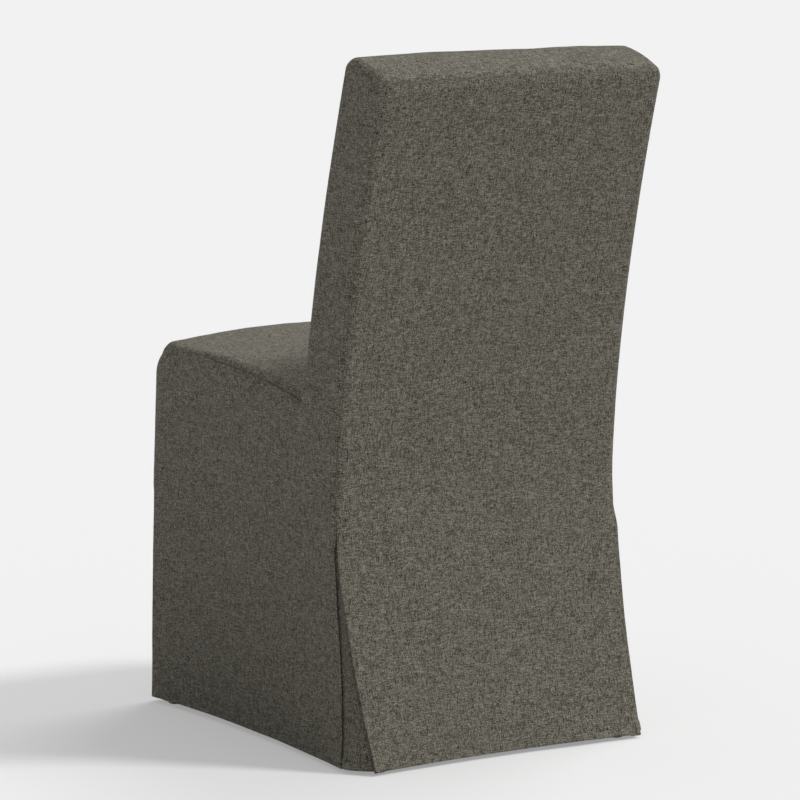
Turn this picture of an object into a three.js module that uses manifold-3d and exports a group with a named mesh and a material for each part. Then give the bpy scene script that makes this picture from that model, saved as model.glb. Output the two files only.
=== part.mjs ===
// A skirted parsons chair: a hardwood frame, webbing and foam under a fitted cover with kick pleats.
// Millimetres, +Z up. The chair faces -Y and its left side is +X. It stands on z = 0.
import * as THREE from "three";
import { mergeVertices } from "three/addons/utils/BufferGeometryUtils.js";
import Module from "manifold-3d";

const wasm = await Module();
wasm.setup();

// Height of the seat's front corners, and of the waist below them
const seatCornerHeight = 530;
const waistDrop = 160;
const waistHeight = seatCornerHeight - waistDrop;

// Side outline of the back: it rakes up from the waist and kicks out again down to the hem
const backHeight = 942;
const hemHeight = 5.5;
const rake = 114.5;
const rakePower = 1.56;
const kick = 82.3;
const kickPower = 1.69;
const backThickness = 100;
const backEdgeRadius = 15;
const topRise = 3;
const topCrown = 6;
const crownFade = 100;

// Width of the cover
const waistHalfWidth = 235.5;
const topTaper = 3.5;
const hemFlare = 0.5;
const topHalfWidth = waistHalfWidth - topTaper;
const hemHalfWidth = waistHalfWidth + hemFlare;

// Seat
const seatFront = -506;
const seatCrown = 16;
const creviceDrop = 43;
const creviceRow = seatCornerHeight - creviceDrop;
const dipLength = 258;
const middleDipShare = 0.5;
const seatRadii = new THREE.Vector3(16, 26, 26);
const frontRadii = new THREE.Vector3(30, 44, 44);
const frontFade = 110;

// Skirt and its kick pleats
const pleatDrop = 42;
const pleatTop = waistHeight - pleatDrop;
const frontFlare = 6;
const hemFront = seatFront - frontFlare;
const rearPleatStart = -7.5;
const rearPleatHem = 34;
const rearPleatTurn = 14;
const backHemHalfWidth = hemHalfWidth - rearPleatTurn;
const frontPleatEdge = 9;
const sideBow = 11;
const sideFlare = 12;
const sideFlarePower = 1.4;
const sideHemRise = 0.5;
const frontHemRise = 3;
const rearBow = 8;
const rearHemRise = 1.5;
const underlayReach = 34;
const underlayDepth = 4;
const underlayRise = 12;
const underlayEase = 1.6;
const gussetSet = 1;
const gussetBow = 8;

// Cloth, and the gaps between neighbours
const clothThickness = 2;
const seamGap = 0.5;
const gap = 0.3;
const clearance = 0.5;

// Wooden frame
const frameSide = 9.5;
const legSize = 42;
const legFootSize = 34;
const legCorner = 11;
const footHeight = 5;
const postWidth = 32;
const postDepth = 40;
const postFootDepth = 34;
const postFootWidth = 30;
const postFootInset = 9;
const foamEdge = 82;
const railTop = seatCornerHeight - foamEdge;
const railHeight = 64;
const railThickness = 24;
const rearRailSet = 8;
const crestHeight = 60;
const crestDrop = 12;
const lowerRailHeight = 55;
const lowerRailRise = 45;
const tenonLength = 14;
const tenonThickness = 10;
const tenonShoulder = 10;
const braceWidth = 42;
const braceHeight = 40;
const braceDrop = 6;

// Padding, webbing, board, dust cover and glides
const rearPadding = 5.7;
const rearPaddingDrop = 5;
const boardThickness = 3;
const boardMargin = 10;
const frontPadding = 8;
const strapWidth = 60;
const strapThickness = 2;
const strapWave = 1.3;
const dustCoverThickness = 1;
const glideRadius = 11;
const glideFlatRadius = 9;
const glideEdge = 1.5;

// How many spans the faceted surfaces have
const cornerSpans = 3;
const skirtSpans = 5;
const seatSpans = 7;
const seatWallSpans = 3;
const backSpans = 9;
const widthSpans = 6;
const boxingSpans = 8;
const boxingDepthSpans = 3;
const footSpans = 7;
const boardSpans = 12;
const strapSpans = 2;
const glideSides = 24;

const linen = { color: 0x59564b, roughness: 0.95, metalness: 0 };
const hardwood = { color: 0xc7a571, roughness: 0.7, metalness: 0 };
const foam = { color: 0xe9e0c6, roughness: 1, metalness: 0 };
const wadding = { color: 0xf1f0ea, roughness: 1, metalness: 0 };
const webbing = { color: 0x8d7f63, roughness: 0.9, metalness: 0 };
const hardboard = { color: 0x8a6a45, roughness: 0.8, metalness: 0 };
const blackCloth = { color: 0x1c1c1e, roughness: 0.95, metalness: 0 };
const nylon = { color: 0x2a2a2c, roughness: 0.45, metalness: 0 };

const chair = new THREE.Group();
const { lerp, clamp } = THREE.MathUtils;
const endless = Infinity;

// Where the outside back runs: its place and its lean at a height
function rearLine(z) {
  if (z >= waistHeight) {
    return rake * ((z - waistHeight) / (backHeight - waistHeight)) ** rakePower;
  }
  return kick * ((waistHeight - z) / (waistHeight - hemHeight)) ** kickPower;
}

function leanAt(z) {
  if (z <= waistHeight) {
    return 0;
  }
  return Math.atan((rakePower * rearLine(z)) / (z - waistHeight));
}

// A point of the back at a depth in front of the outside back, square to it
function onBack(x, depth, z) {
  const lean = leanAt(z);
  return new THREE.Vector3(x, rearLine(z) - depth * Math.cos(lean), z + depth * Math.sin(lean));
}

function halfWidthAt(z) {
  if (z >= waistHeight) {
    const share = (z - waistHeight) / (backHeight - waistHeight);
    return lerp(waistHalfWidth, topHalfWidth, Math.min(share, 1));
  }
  return lerp(waistHalfWidth, hemHalfWidth, (waistHeight - z) / (waistHeight - hemHeight));
}

// 0 at the top of the pleats and 1 at the hem
function skirtShare(z) {
  return clamp((pleatTop - z) / (pleatTop - hemHeight), 0, 1);
}

function frontAt(z) {
  return lerp(seatFront, hemFront, skirtShare(z));
}

// A bulge that is 1 halfway between two ends and 0 at both
function bulge(share) {
  return 1 - (2 * share - 1) ** 2;
}

// Height of the seat's surface before its edges are rounded
const crevice = onBack(0, backThickness, creviceRow);
const dip = seatCornerHeight - crevice.z;

function seatTop(x, y) {
  const side = clamp(Math.abs(x) / waistHalfWidth, 0, 1);
  const back = clamp((y - crevice.y + dipLength) / dipLength, 0, 1);
  const dipHere = dip * lerp(middleDipShare, 1, side ** 2) * back ** 2;
  return seatCornerHeight + seatCrown * (1 - side ** 2) - dipHere;
}

// A point of a sharp-edged block moved to where the block's rounded skin has it, at an inset from that skin
function rounded(point, low, high, radii, inset) {
  const moved = new THREE.Vector3();
  const away = new THREE.Vector3();
  const core = new THREE.Vector3();
  for (const axis of ["x", "y", "z"]) {
    const from = low[axis] + inset;
    const to = high[axis] - inset;
    const radius = Math.max(radii[axis] - inset, clearance);
    const value = clamp(point[axis], from, to);
    core[axis] = clamp(value, from + radius, to - radius);
    away[axis] = (value - core[axis]) / radius;
  }
  if (away.length() > 0) {
    away.normalize();
  }
  for (const axis of ["x", "y", "z"]) {
    moved[axis] = core[axis] + away[axis] * Math.max(radii[axis] - inset, clearance);
  }
  return moved;
}

function edged(value, from, to, inset) {
  return clamp(value, from + inset + seamGap, to - inset - seamGap);
}

// A point of the back's skin, given on the sharp block: sideways, in depth and in height
function backSkin(x, depth, z, inset) {
  const half = halfWidthAt(z);
  const low = new THREE.Vector3(-half, 0, -endless);
  const high = new THREE.Vector3(half, backThickness, 0);
  const radii = new THREE.Vector3(backEdgeRadius, backEdgeRadius, backEdgeRadius);
  const p = rounded(new THREE.Vector3(x, depth, z - backHeight), low, high, radii, inset);
  const rise = topRise * (1 - (p.x / half) ** 4) + topCrown * bulge(p.y / backThickness);
  return onBack(p.x, p.y, backHeight + p.z + rise * clamp(1 + p.z / crownFade, 0, 1));
}

// The seat's edges are rounder round its two front corners
function seatRadiiAt(y, ramp) {
  const nearFront = 1 - clamp((y - seatFront) / frontFade, 0, 1);
  return seatRadii.clone().lerp(frontRadii, ramp * nearFront);
}

// A point of the seat's skin: its level runs from the pleats up to the height of the seat's corners
function seatSkin(x, y, level, inset) {
  const ramp = clamp((level - pleatTop) / (seatCornerHeight - pleatTop), 0, 1);
  const top = seatTop(x, y);
  const z = level + (top - seatCornerHeight) * ramp;
  const half = halfWidthAt(z);
  const low = new THREE.Vector3(-half, frontAt(z), -endless);
  const high = new THREE.Vector3(half, endless, 0);
  const radii = seatRadiiAt(y, ramp);
  const p = rounded(new THREE.Vector3(x, y, z - top), low, high, radii, inset);
  return new THREE.Vector3(p.x, p.y, top + p.z);
}

// Where the inside back's face is at a height above the floor
function insideBackAt(z) {
  let row = z;
  for (let turn = 0; turn < cornerSpans; turn += 1) {
    row = z - backThickness * Math.sin(leanAt(row));
  }
  return onBack(0, backThickness, row).y;
}

// The skirt's side and rear faces
function skirtSide(y, z, inset) {
  const from = frontAt(z);
  const share = clamp((y - from) / (rearPleatAt(z) - from), 0, 1);
  const flare = sideFlare * skirtShare(z) ** 4 * share ** sideFlarePower;
  const x = halfWidthAt(z) + flare - sideBow * skirtShare(z) ** 2 * bulge(share) - inset;
  const rise = sideHemRise * bulge(share) + frontHemRise * (1 - share);
  return new THREE.Vector3(x, y, z + rise * skirtShare(z) ** 4);
}

function rearPleatAt(z) {
  return lerp(rearPleatStart, rearPleatHem, skirtShare(z));
}

function backSkirtHalfWidth(z) {
  return lerp(halfWidthAt(z), backHemHalfWidth, skirtShare(z));
}

function skirtRear(x, z, inset) {
  const middle = bulge(0.5 + x / (2 * backSkirtHalfWidth(z)));
  const y = rearLine(z) - rearBow * skirtShare(z) ** 2 * middle - inset;
  return new THREE.Vector3(x, y, z + rearHemRise * skirtShare(z) ** 4 * middle);
}

// Stations along a face: quarter-turn steps over each rounded end and even spans between them
function stations(length, startRadius, endRadius, spans) {
  const found = [];
  for (let i = 0; i <= cornerSpans; i += 1) {
    found.push(startRadius * (1 - Math.tan((Math.PI / 4) * (1 - i / cornerSpans))));
  }
  for (let i = 1; i < spans; i += 1) {
    found.push(lerp(startRadius, length - endRadius, i / spans));
  }
  for (let i = 0; i <= cornerSpans; i += 1) {
    found.push(length - endRadius * (1 - Math.tan((Math.PI / 4) * (i / cornerSpans))));
  }
  return found;
}

function even(from, to, spans) {
  return Array.from({ length: spans + 1 }, (_, i) => lerp(from, to, i / spans));
}

function geometryOf(points, faces) {
  const geometry = new THREE.BufferGeometry().setFromPoints(points);
  geometry.setIndex(faces);
  return geometry;
}

function volumeOf(points, faces) {
  let sum = 0;
  const across = new THREE.Vector3();
  for (let i = 0; i < faces.length; i += 3) {
    across.crossVectors(points[faces[i + 1]], points[faces[i + 2]]);
    sum += points[faces[i]].dot(across);
  }
  return sum;
}

// A sheet of cloth: patches of a surface joined where they share points, an inner face and closed edges
function sheet(patches, thickness = clothThickness) {
  const outer = [];
  const inner = [];
  const faces = [];
  const known = new Map();
  const vertex = (patch, row, column) => {
    const point = patch.at(row, column, 0);
    const key = point.toArray().map((value) => value.toFixed(3)).join();
    if (!known.has(key)) {
      known.set(key, outer.length);
      outer.push(point);
      inner.push(patch.at(row, column, thickness));
    }
    return known.get(key);
  };
  for (const patch of patches) {
    for (let row = 0; row < patch.rows; row += 1) {
      for (let column = 0; column < patch.columns; column += 1) {
        const a = vertex(patch, row, column);
        const b = vertex(patch, row, column + 1);
        const c = vertex(patch, row + 1, column + 1);
        const d = vertex(patch, row + 1, column);
        faces.push(a, b, c, a, c, d);
      }
    }
  }
  return closedSheet(outer, inner, faces);
}

function closedSheet(outer, inner, faces) {
  const count = outer.length;
  const edges = new Set();
  const all = [...faces];
  for (let i = 0; i < faces.length; i += 3) {
    const [a, b, c] = faces.slice(i, i + 3);
    edges.add(`${a},${b}`).add(`${b},${c}`).add(`${c},${a}`);
    all.push(a + count, c + count, b + count);
  }
  for (const edge of edges) {
    const [a, b] = edge.split(",").map(Number);
    if (!edges.has(`${b},${a}`)) {
      all.push(b, a, a + count, b, a + count, b + count);
    }
  }
  return geometryOf([...outer, ...inner], all);
}

// A body lofted through rings of points, with its ends closed
function loft(rings) {
  const size = rings[0].length;
  const points = rings.flat();
  const faces = [];
  for (let i = 0; i + 1 < rings.length; i += 1) {
    for (let j = 0; j < size; j += 1) {
      const a = i * size + j;
      const b = i * size + ((j + 1) % size);
      faces.push(a, b, b + size, a, b + size, a + size);
    }
  }
  for (const [ring, start, turned] of [
    [rings[0], 0, true],
    [rings.at(-1), points.length - size, false],
  ]) {
    const centre = points.length;
    const middle = new THREE.Vector3();
    ring.forEach((point) => middle.addScaledVector(point, 1 / size));
    points.push(middle);
    for (let j = 0; j < size; j += 1) {
      const next = (j + 1) % size;
      faces.push(centre, start + (turned ? next : j), start + (turned ? j : next));
    }
  }
  return geometryOf(points, volumeOf(points, faces) < 0 ? faces.toReversed() : faces);
}

// A block between two corners, carried to its place by a rule, in as many layers as its heights
function block(low, high, place, heights = [low.z, high.z]) {
  const ring = (z) => [
    place(low.x, low.y, z),
    place(high.x, low.y, z),
    place(high.x, high.y, z),
    place(low.x, high.y, z),
  ];
  return loft(heights.map(ring));
}

function upright(x, y, z) {
  return new THREE.Vector3(x, y, z);
}

function box(x0, x1, y0, y1, z0, z1, place = upright, layers = 1) {
  return block({ x: x0, y: y0, z: z0 }, { x: x1, y: y1, z: z1 }, place, even(z0, z1, layers));
}

// Joining and cutting of solids
function solidOf(geometry) {
  const bare = geometry.clone();
  bare.deleteAttribute("normal");
  bare.deleteAttribute("uv");
  const merged = mergeVertices(bare);
  const triVerts = new Uint32Array(merged.index.array);
  const vertProperties = merged.attributes.position.array;
  return new wasm.Manifold(new wasm.Mesh({ numProp: 3, vertProperties, triVerts }));
}

function fromSolid(solid) {
  const mesh = solid.getMesh();
  const geometry = new THREE.BufferGeometry();
  geometry.setAttribute("position", new THREE.BufferAttribute(mesh.vertProperties, 3));
  geometry.setIndex(new THREE.BufferAttribute(mesh.triVerts, 1));
  return geometry;
}

function joined(first, ...rest) {
  return fromSolid(rest.reduce((solid, next) => solid.add(solidOf(next)), solidOf(first)));
}

function cut(first, ...tools) {
  return fromSolid(tools.reduce((solid, tool) => solid.subtract(solidOf(tool)), solidOf(first)));
}

function add(name, geometry, finish) {
  const flat = geometry.index ? geometry.toNonIndexed() : geometry;
  flat.computeVertexNormals();
  const mesh = new THREE.Mesh(flat, new THREE.MeshStandardMaterial(finish));
  mesh.name = name;
  chair.add(mesh);
  return mesh;
}

// The same piece on both sides: as built on the left, and mirrored on the right
function addPair(name, geometry, finish) {
  add(`${name}_left`, geometry, finish);
  add(`${name}_right`, geometry, finish).scale.x = -1;
}

// Frame: places that several of its pieces share
const frameHalf = waistHalfWidth - frameSide;
const legFront = seatFront + clothThickness + 2 * gap + frontPadding;
const legBack = legFront + legSize;
const legInner = frameHalf - legSize;
const postInner = frameHalf - postWidth;
const railBottom = railTop - railHeight;
const railInner = frameHalf - railThickness;
const postRear = clothThickness + rearPadding + boardThickness + 3 * gap;
const postFront = postRear + postDepth;
const postTop = backHeight - crestDrop;
const postFootHalf = backHemHalfWidth - postFootInset;
const rearRailRear = postRear + rearRailSet;
const tenonLow = railBottom + tenonShoulder;
const tenonHigh = railTop - tenonShoulder;

// A tenon along Y or X, and the same box a little larger for its mortise
function alongBox(x0, x1, y0, y1, grow, place = upright, z0 = tenonLow, z1 = tenonHigh) {
  return box(x0 - grow, x1 + grow, y0 - grow, y1 + grow, z0 - grow, z1 + grow, place);
}

function frontRailTenon(grow) {
  const y = legFront + (railThickness - tenonThickness) / 2;
  return alongBox(legInner - gap, legInner + tenonLength, y, y + tenonThickness, grow);
}

function sideRailTenon(end, grow) {
  const x = frameHalf - (railThickness + tenonThickness) / 2;
  const from = end === "front" ? legBack - tenonLength : -postFront - gap;
  const to = end === "front" ? legBack + gap : -postFront + tenonLength;
  return alongBox(x, x + tenonThickness, from, to, grow);
}

function rearRailTenon(grow) {
  const depth = rearRailRear + (railThickness - tenonThickness) / 2;
  return alongBox(postInner - gap, postInner + tenonLength, -depth - tenonThickness, -depth, grow);
}

// The two back rails' tenons lie square to the raked posts
function backRailTenon(low, high, grow) {
  const depth = postFront - (railThickness + tenonThickness) / 2;
  const from = low + tenonShoulder;
  const to = high - tenonShoulder;
  return alongBox(postInner - gap, postInner + tenonLength, depth, depth + tenonThickness, grow,
    onBack, from, to);
}

const crestLow = postTop - crestHeight;
const lowerRailLow = creviceRow + lowerRailRise;
const lowerRailTop = lowerRailLow + lowerRailHeight;

// Front legs: square at the rails, tapering on the two inner faces down to the foot
function frontLeg() {
  const ring = (z) => {
    const size = lerp(legFootSize, legSize, clamp((z - footHeight) / (railBottom - footHeight), 0, 1));
    const inner = frameHalf - size;
    const back = legFront + size;
    return [
      upright(inner, legFront, z),
      upright(frameHalf - legCorner, legFront, z),
      upright(frameHalf, legFront + legCorner, z),
      upright(frameHalf, back, z),
      upright(inner, back, z),
    ];
  };
  const body = loft([footHeight, railBottom, railTop].map(ring));
  return cut(body, frontRailTenon(gap), sideRailTenon("front", gap));
}

// Rear posts: one sabre-curved piece each, from the splayed foot to the top of the back
function rearPost() {
  const heights = [
    ...even(footHeight, railBottom, footSpans),
    ...even(railBottom, railTop, 2).slice(1),
    ...even(railTop, postTop, backSpans).slice(1),
  ];
  const ring = (z) => {
    const foot = clamp((railBottom - z) / (railBottom - footHeight), 0, 1);
    const front = postRear + lerp(postDepth, postFootDepth, foot);
    const outer = lerp(halfWidthAt(Math.max(z, railTop)) - frameSide, postFootHalf, foot);
    const inner = lerp(postInner, postFootHalf - postFootWidth, foot);
    return [
      onBack(inner, front, z),
      onBack(outer, front, z),
      onBack(outer, postRear, z),
      onBack(inner, postRear, z),
    ];
  };
  return cut(
    loft(heights.map(ring)),
    rearRailTenon(gap),
    sideRailTenon("rear", gap),
    backRailTenon(crestLow, postTop, gap),
    backRailTenon(lowerRailLow, lowerRailTop, gap),
  );
}

function mirrored(geometry) {
  const copy = geometry.clone().scale(-1, 1, 1);
  copy.setIndex([...copy.index.array].reverse());
  return copy;
}

function frontRail() {
  const half = legInner - gap;
  const body = box(-half, half, legFront, legFront + railThickness, railBottom, railTop);
  const tenon = frontRailTenon(0);
  return joined(body, tenon, mirrored(tenon));
}

function rearRail() {
  const half = postInner - gap;
  const body = box(-half, half, -rearRailRear - railThickness, -rearRailRear, railBottom, railTop);
  const tenon = rearRailTenon(0);
  return joined(body, tenon, mirrored(tenon));
}

function sideRail() {
  const from = legBack + gap;
  const to = -postFront - gap;
  const body = box(railInner, frameHalf, from, to, railBottom, railTop);
  return joined(body, sideRailTenon("front", 0), sideRailTenon("rear", 0));
}

function backRail(low, high) {
  const half = postInner - gap;
  const body = box(-half, half, postFront - railThickness, postFront, low, high, onBack, 3);
  const tenon = backRailTenon(low, high, 0);
  return joined(body, tenon, mirrored(tenon));
}

// Corner braces: a board across each corner, its ends on the two rails, clear of the leg between them
function cornerBrace(x, y, towards, start) {
  const outline = new THREE.Shape();
  outline.moveTo(start, 0);
  outline.lineTo(start + braceWidth, 0);
  outline.lineTo(0, start + braceWidth);
  outline.lineTo(0, start);
  outline.closePath();
  const body = new THREE.ExtrudeGeometry(outline, { depth: braceHeight, bevelEnabled: false });
  body.scale(-1, towards, 1);
  body.translate(x, y, railTop - braceDrop - braceHeight);
  body.deleteAttribute("normal");
  body.deleteAttribute("uv");
  const merged = mergeVertices(body);
  if (towards > 0) {
    merged.setIndex([...merged.index.array].reverse());
  }
  return merged;
}

function frontBrace() {
  const start = 2 * (legSize - railThickness) + gap * 2;
  return cornerBrace(railInner - gap, legFront + railThickness + gap, 1, start);
}

function rearBrace() {
  const start = postFront - rearRailRear - railThickness + postWidth - railThickness + gap * 2;
  return cornerBrace(railInner - gap, -rearRailRear - railThickness - gap, -1, start);
}

// Webbing: straps woven over and under each other
function strap(from, to, across, crossings, firstUp, place) {
  const half = strapWidth / 2;
  const bends = [[from, -strapWave]];
  crossings.forEach((centre, i) => {
    const side = (i % 2 === 0) === firstUp ? strapWave : -strapWave;
    bends.push([centre - half, side], [centre + half, side]);
  });
  bends.push([to, -strapWave]);
  const stops = bends.slice(1).flatMap((bend, i) => {
    const shares = even(0, 1, strapSpans).slice(1);
    return shares.map((share) => bends[i].map((value, k) => lerp(value, bend[k], share)));
  });
  return loft(
    [bends[0], ...stops].map(([along, wave]) => {
      const low = wave + strapWave;
      const high = low + strapThickness;
      return [
        place(along, across - half, low),
        place(along, across + half, low),
        place(along, across + half, high),
        place(along, across - half, high),
      ];
    }),
  );
}

function seatStraps() {
  const left = frameHalf - boardMargin;
  const front = legFront + boardMargin;
  const rear = -rearRailRear - boardMargin;
  const acrossPlaces = [-1, 0, 1].map((side) => side * (legInner / 2 + boardMargin));
  const alongPlaces = [1, 2, 3].map((i) => lerp(front, rear, i / 4));
  const height = railTop + gap;
  acrossPlaces.forEach((x, i) => {
    const place = (along, across, up) => upright(across, along, height + up);
    add(`seat_strap_long_${i + 1}`, strap(front, rear, x, alongPlaces, i % 2 === 0, place), webbing);
  });
  alongPlaces.forEach((y, i) => {
    const place = (along, across, up) => upright(along, across, height + up);
    add(`seat_strap_cross_${i + 1}`, strap(-left, left, y, acrossPlaces, i % 2 === 1, place), webbing);
  });
}

function backStraps() {
  const left = frameHalf - boardMargin;
  const low = lowerRailLow + boardMargin;
  const high = postTop - boardMargin;
  const acrossPlaces = [-1, 1].map((side) => (side * postInner) / 2);
  const upPlaces = [1, 2, 3].map((i) => lerp(low, high, i / 4));
  const depth = postFront + gap;
  acrossPlaces.forEach((x, i) => {
    const place = (along, across, up) => onBack(across, depth + up, along);
    add(`back_strap_upright_${i + 1}`, strap(low, high, x, upPlaces, i % 2 === 0, place), webbing);
  });
  upPlaces.forEach((z, i) => {
    const place = (along, across, up) => onBack(along, depth + up, across);
    add(`back_strap_cross_${i + 1}`, strap(-left, left, z, acrossPlaces, i % 2 === 1, place), webbing);
  });
}

const strapStack = 2 * strapWave + strapThickness + 2 * gap;

// Stations shared by each part of the cover and the padding under it
function sideStations(half, radius, spans) {
  return stations(2 * half, radius, radius, spans).map((value) => value - half);
}

const backRows = stations(backHeight - creviceRow, clearance, backEdgeRadius, backSpans)
  .slice(cornerSpans)
  .map((offset) => creviceRow + offset);
const seatLevels = [
  ...even(pleatTop, seatCornerHeight - frontRadii.z, seatWallSpans),
  ...stations(seatCornerHeight, clearance, frontRadii.z, 1).slice(-cornerSpans),
];
const stripRows = seatLevels.map((level) =>
  lerp(pleatTop, creviceRow, (level - pleatTop) / (seatCornerHeight - pleatTop)),
);
const skirtRows = even(hemHeight, pleatTop - underlayDepth, skirtSpans);
const seatColumns = sideStations(waistHalfWidth, frontRadii.x, widthSpans);
const boxingColumns = sideStations(topHalfWidth, backEdgeRadius, boxingSpans);
const boxingDepths = stations(backThickness, backEdgeRadius, backEdgeRadius, boxingDepthSpans);
const seatDepth = crevice.y - seatFront;
const seatPlaces = stations(seatDepth, frontRadii.y, clearance, seatSpans).slice(0, -cornerSpans);
const edgeShare = backEdgeRadius / waistHalfWidth;
const backColumnShares = stations(2, edgeShare, edgeShare, widthSpans).map((value) => value - 1);

// The seat's rear edge follows the inside back's slope
function seatPlace(x, row) {
  if (row < cornerSpans) {
    return seatFront + seatPlaces[row];
  }
  const rear = insideBackAt(seatTop(x, crevice.y)) - clearance;
  return lerp(seatFront, rear, seatPlaces[row] / seatDepth);
}

// The inside back's skin reaches round both edges above the seat, and is tucked in between them below it
const tuckedRows = [creviceRow - seatRadii.z, creviceRow - clearance];
const insideBackRows = [...tuckedRows, ...backRows.slice(1)];

function insideBackSkin(side, row, inset) {
  const z = insideBackRows[row];
  if (row < tuckedRows.length) {
    const half = halfWidthAt(z) - backEdgeRadius / 2;
    return onBack(side * half, backThickness - inset, z);
  }
  const half = halfWidthAt(z);
  const x = edged(side * half, -half, half, inset);
  return backSkin(x, backThickness, Math.min(z, backHeight - inset - seamGap), inset);
}

// Padding
function seatFoam() {
  const inset = clothThickness + clearance + gap;
  const bottom = railTop + strapStack;
  const limit = insideBackAt(bottom) - clearance;
  const ring = (_, row) => {
    const top = seatColumns.map((x) => {
      const y = Math.min(seatPlace(x, row), seatPlace(x, seatPlaces.length - 1) - gap);
      return seatSkin(x, y, seatCornerHeight, inset);
    });
    const low = seatColumns.map((x) => {
      const point = seatSkin(x, seatPlace(x, row), bottom, inset);
      return new THREE.Vector3(point.x, Math.min(point.y, limit), bottom);
    });
    return [...top, ...low.toReversed()];
  };
  return loft(seatPlaces.map(ring));
}

function backFoam() {
  const inset = clothThickness + gap;
  const rear = postFront + strapStack;
  const ring = (z, row) => {
    const front = backColumnShares.map((share) => insideBackSkin(share, row, inset));
    return under(front, (x) => onBack(x, rear, Math.min(z, backHeight - inset)));
  };
  return loft(insideBackRows.map(ring));
}

// The points of one ring of padding, and below them the two corners that close the ring
function under(ring, place) {
  return [...ring, place(ring.at(-1).x), place(ring[0].x)];
}

function rearPad() {
  const inset = clothThickness + gap;
  const front = inset + rearPadding;
  const rows = [...stripRows.filter((z) => z > railBottom), ...backRows.slice(1)];
  const ring = (z) => {
    const half = halfWidthAt(z);
    const rear = backColumnShares.map((share) => backSkin(-share * half, 0, z, inset));
    return under(rear, (x) => onBack(x, front, Math.min(z, backHeight - inset - rearPaddingDrop)));
  };
  return loft(rows.map(ring));
}

function topPad() {
  const inset = clothThickness + gap;
  const bottom = postTop + gap;
  const rear = inset + rearPadding + gap;
  const places = [rear, ...boxingDepths.filter((depth) => depth > rear && depth < postFront)];
  const ring = (depth) => {
    const top = boxingColumns.map((x) => backSkin(x, depth, backHeight, inset));
    return under(top, (x) => onBack(x, depth, bottom));
  };
  return loft(places.map(ring));
}

// Wadding on the outer sides of the rails and posts
function railPadding() {
  const from = frameHalf + gap;
  const to = halfWidthAt(railTop) - clothThickness - gap;
  return box(from, to, seatFront + frontRadii.y, -postFront, railBottom, railTop);
}

function postPadding() {
  const heights = even(railTop, postTop, backSpans);
  const ring = (z) => {
    const half = halfWidthAt(z);
    const inner = half - frameSide + gap;
    const outer = half - clothThickness - gap;
    return [
      onBack(inner, postFront, z),
      onBack(outer, postFront, z),
      onBack(outer, backEdgeRadius, z),
      onBack(inner, backEdgeRadius, z),
    ];
  };
  return loft(heights.map(ring));
}

function frontPad() {
  const half = frameHalf - 2 * legCorner;
  const from = seatFront + clothThickness + gap;
  return box(-half, half, from, from + frontPadding, railBottom, railTop + gap);
}

function outerBoard() {
  const half = frameHalf - boardMargin;
  const from = clothThickness + rearPadding + 2 * gap;
  return box(-half, half, from, from + boardThickness, railBottom, postTop, onBack, boardSpans);
}

// Dust cover: stapled under the rails, cut away round the legs and posts
function dustCover() {
  const half = frameHalf - boardMargin;
  const front = legFront + boardMargin;
  const rear = -rearRailRear - boardMargin;
  const top = railBottom - gap;
  const body = box(-half, half, front, rear, top - dustCoverThickness, top);
  const notches = [1, -1].flatMap((side) => {
    const legCut = [legInner - clearance, frameHalf, seatFront, legBack + clearance];
    const postCut = [postInner - clearance, frameHalf, -postFront - clearance, 0];
    return [legCut, postCut].map(([x0, x1, y0, y1]) => {
      const tool = box(x0, x1, y0, y1, railBottom - railThickness, railTop);
      return side > 0 ? tool : mirrored(tool);
    });
  });
  return cut(body, ...notches);
}

function glide(x, y) {
  const height = footHeight - gap;
  const profile = [
    [0, 0],
    [glideFlatRadius, 0],
    [glideRadius, glideEdge],
    [glideRadius, height],
    [0, height],
  ].map(([r, z]) => new THREE.Vector2(r, z));
  const body = new THREE.LatheGeometry(profile, glideSides);
  body.rotateX(Math.PI / 2);
  body.translate(x, y, 0);
  return body;
}

// Cover: the panels, each from seam to seam on the outside and as thick as the cloth
function frontColumns(z) {
  const from = frontAt(z);
  const row = lerp(pleatTop, creviceRow, (z - pleatTop) / (seatCornerHeight - pleatTop));
  const divide = z > pleatTop ? onBack(0, backThickness, Math.max(row, waistHeight)).y : -backThickness;
  return stations(divide - from, frontRadii.y, clearance, seatSpans)
    .slice(0, -cornerSpans)
    .map((offset) => from + offset);
}

// One side: the flank of the seat and skirt, and behind it the strip that climbs the back
function sideCover() {
  const lower = [...skirtRows, ...seatLevels];
  const flank = {
    rows: lower.length - 1,
    columns: frontColumns(hemHeight).length - 1,
    at(row, column, inset) {
      const level = lower[row];
      const y = frontColumns(level)[column];
      if (row < skirtRows.length) {
        return skirtSide(Math.max(y, frontAt(level) + frontPleatEdge), level, inset);
      }
      const shown = Math.max(y, frontAt(level) + inset + seamGap);
      const edge = level === seatCornerHeight ? seamGap + inset : 0;
      return seatSkinSide(shown, level, edge, inset);
    },
  };
  const depths = stations(backThickness, backEdgeRadius, backEdgeRadius, 2);
  const strip = {
    rows: lower.length - 1 + backRows.length - 1,
    columns: depths.length - 1,
    at(row, column, inset) {
      if (row < lower.length && column === 0) {
        return flank.at(row, flank.columns, inset);
      }
      const depth = depths[depths.length - 1 - column];
      if (row < skirtRows.length) {
        const level = skirtRows[row];
        const share = depth / backThickness;
        return skirtSide(lerp(rearPleatAt(level), -backThickness, share), level, inset);
      }
      if (row < lower.length) {
        return stripBelow(depth, stripRows[row - skirtRows.length], inset);
      }
      const z = Math.min(backRows[row - lower.length + 1], backHeight - inset - seamGap);
      return backSkin(halfWidthAt(z), edged(depth, 0, backThickness, inset), z, inset);
    },
  };
  return sheet([flank, strip]);
}

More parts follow.
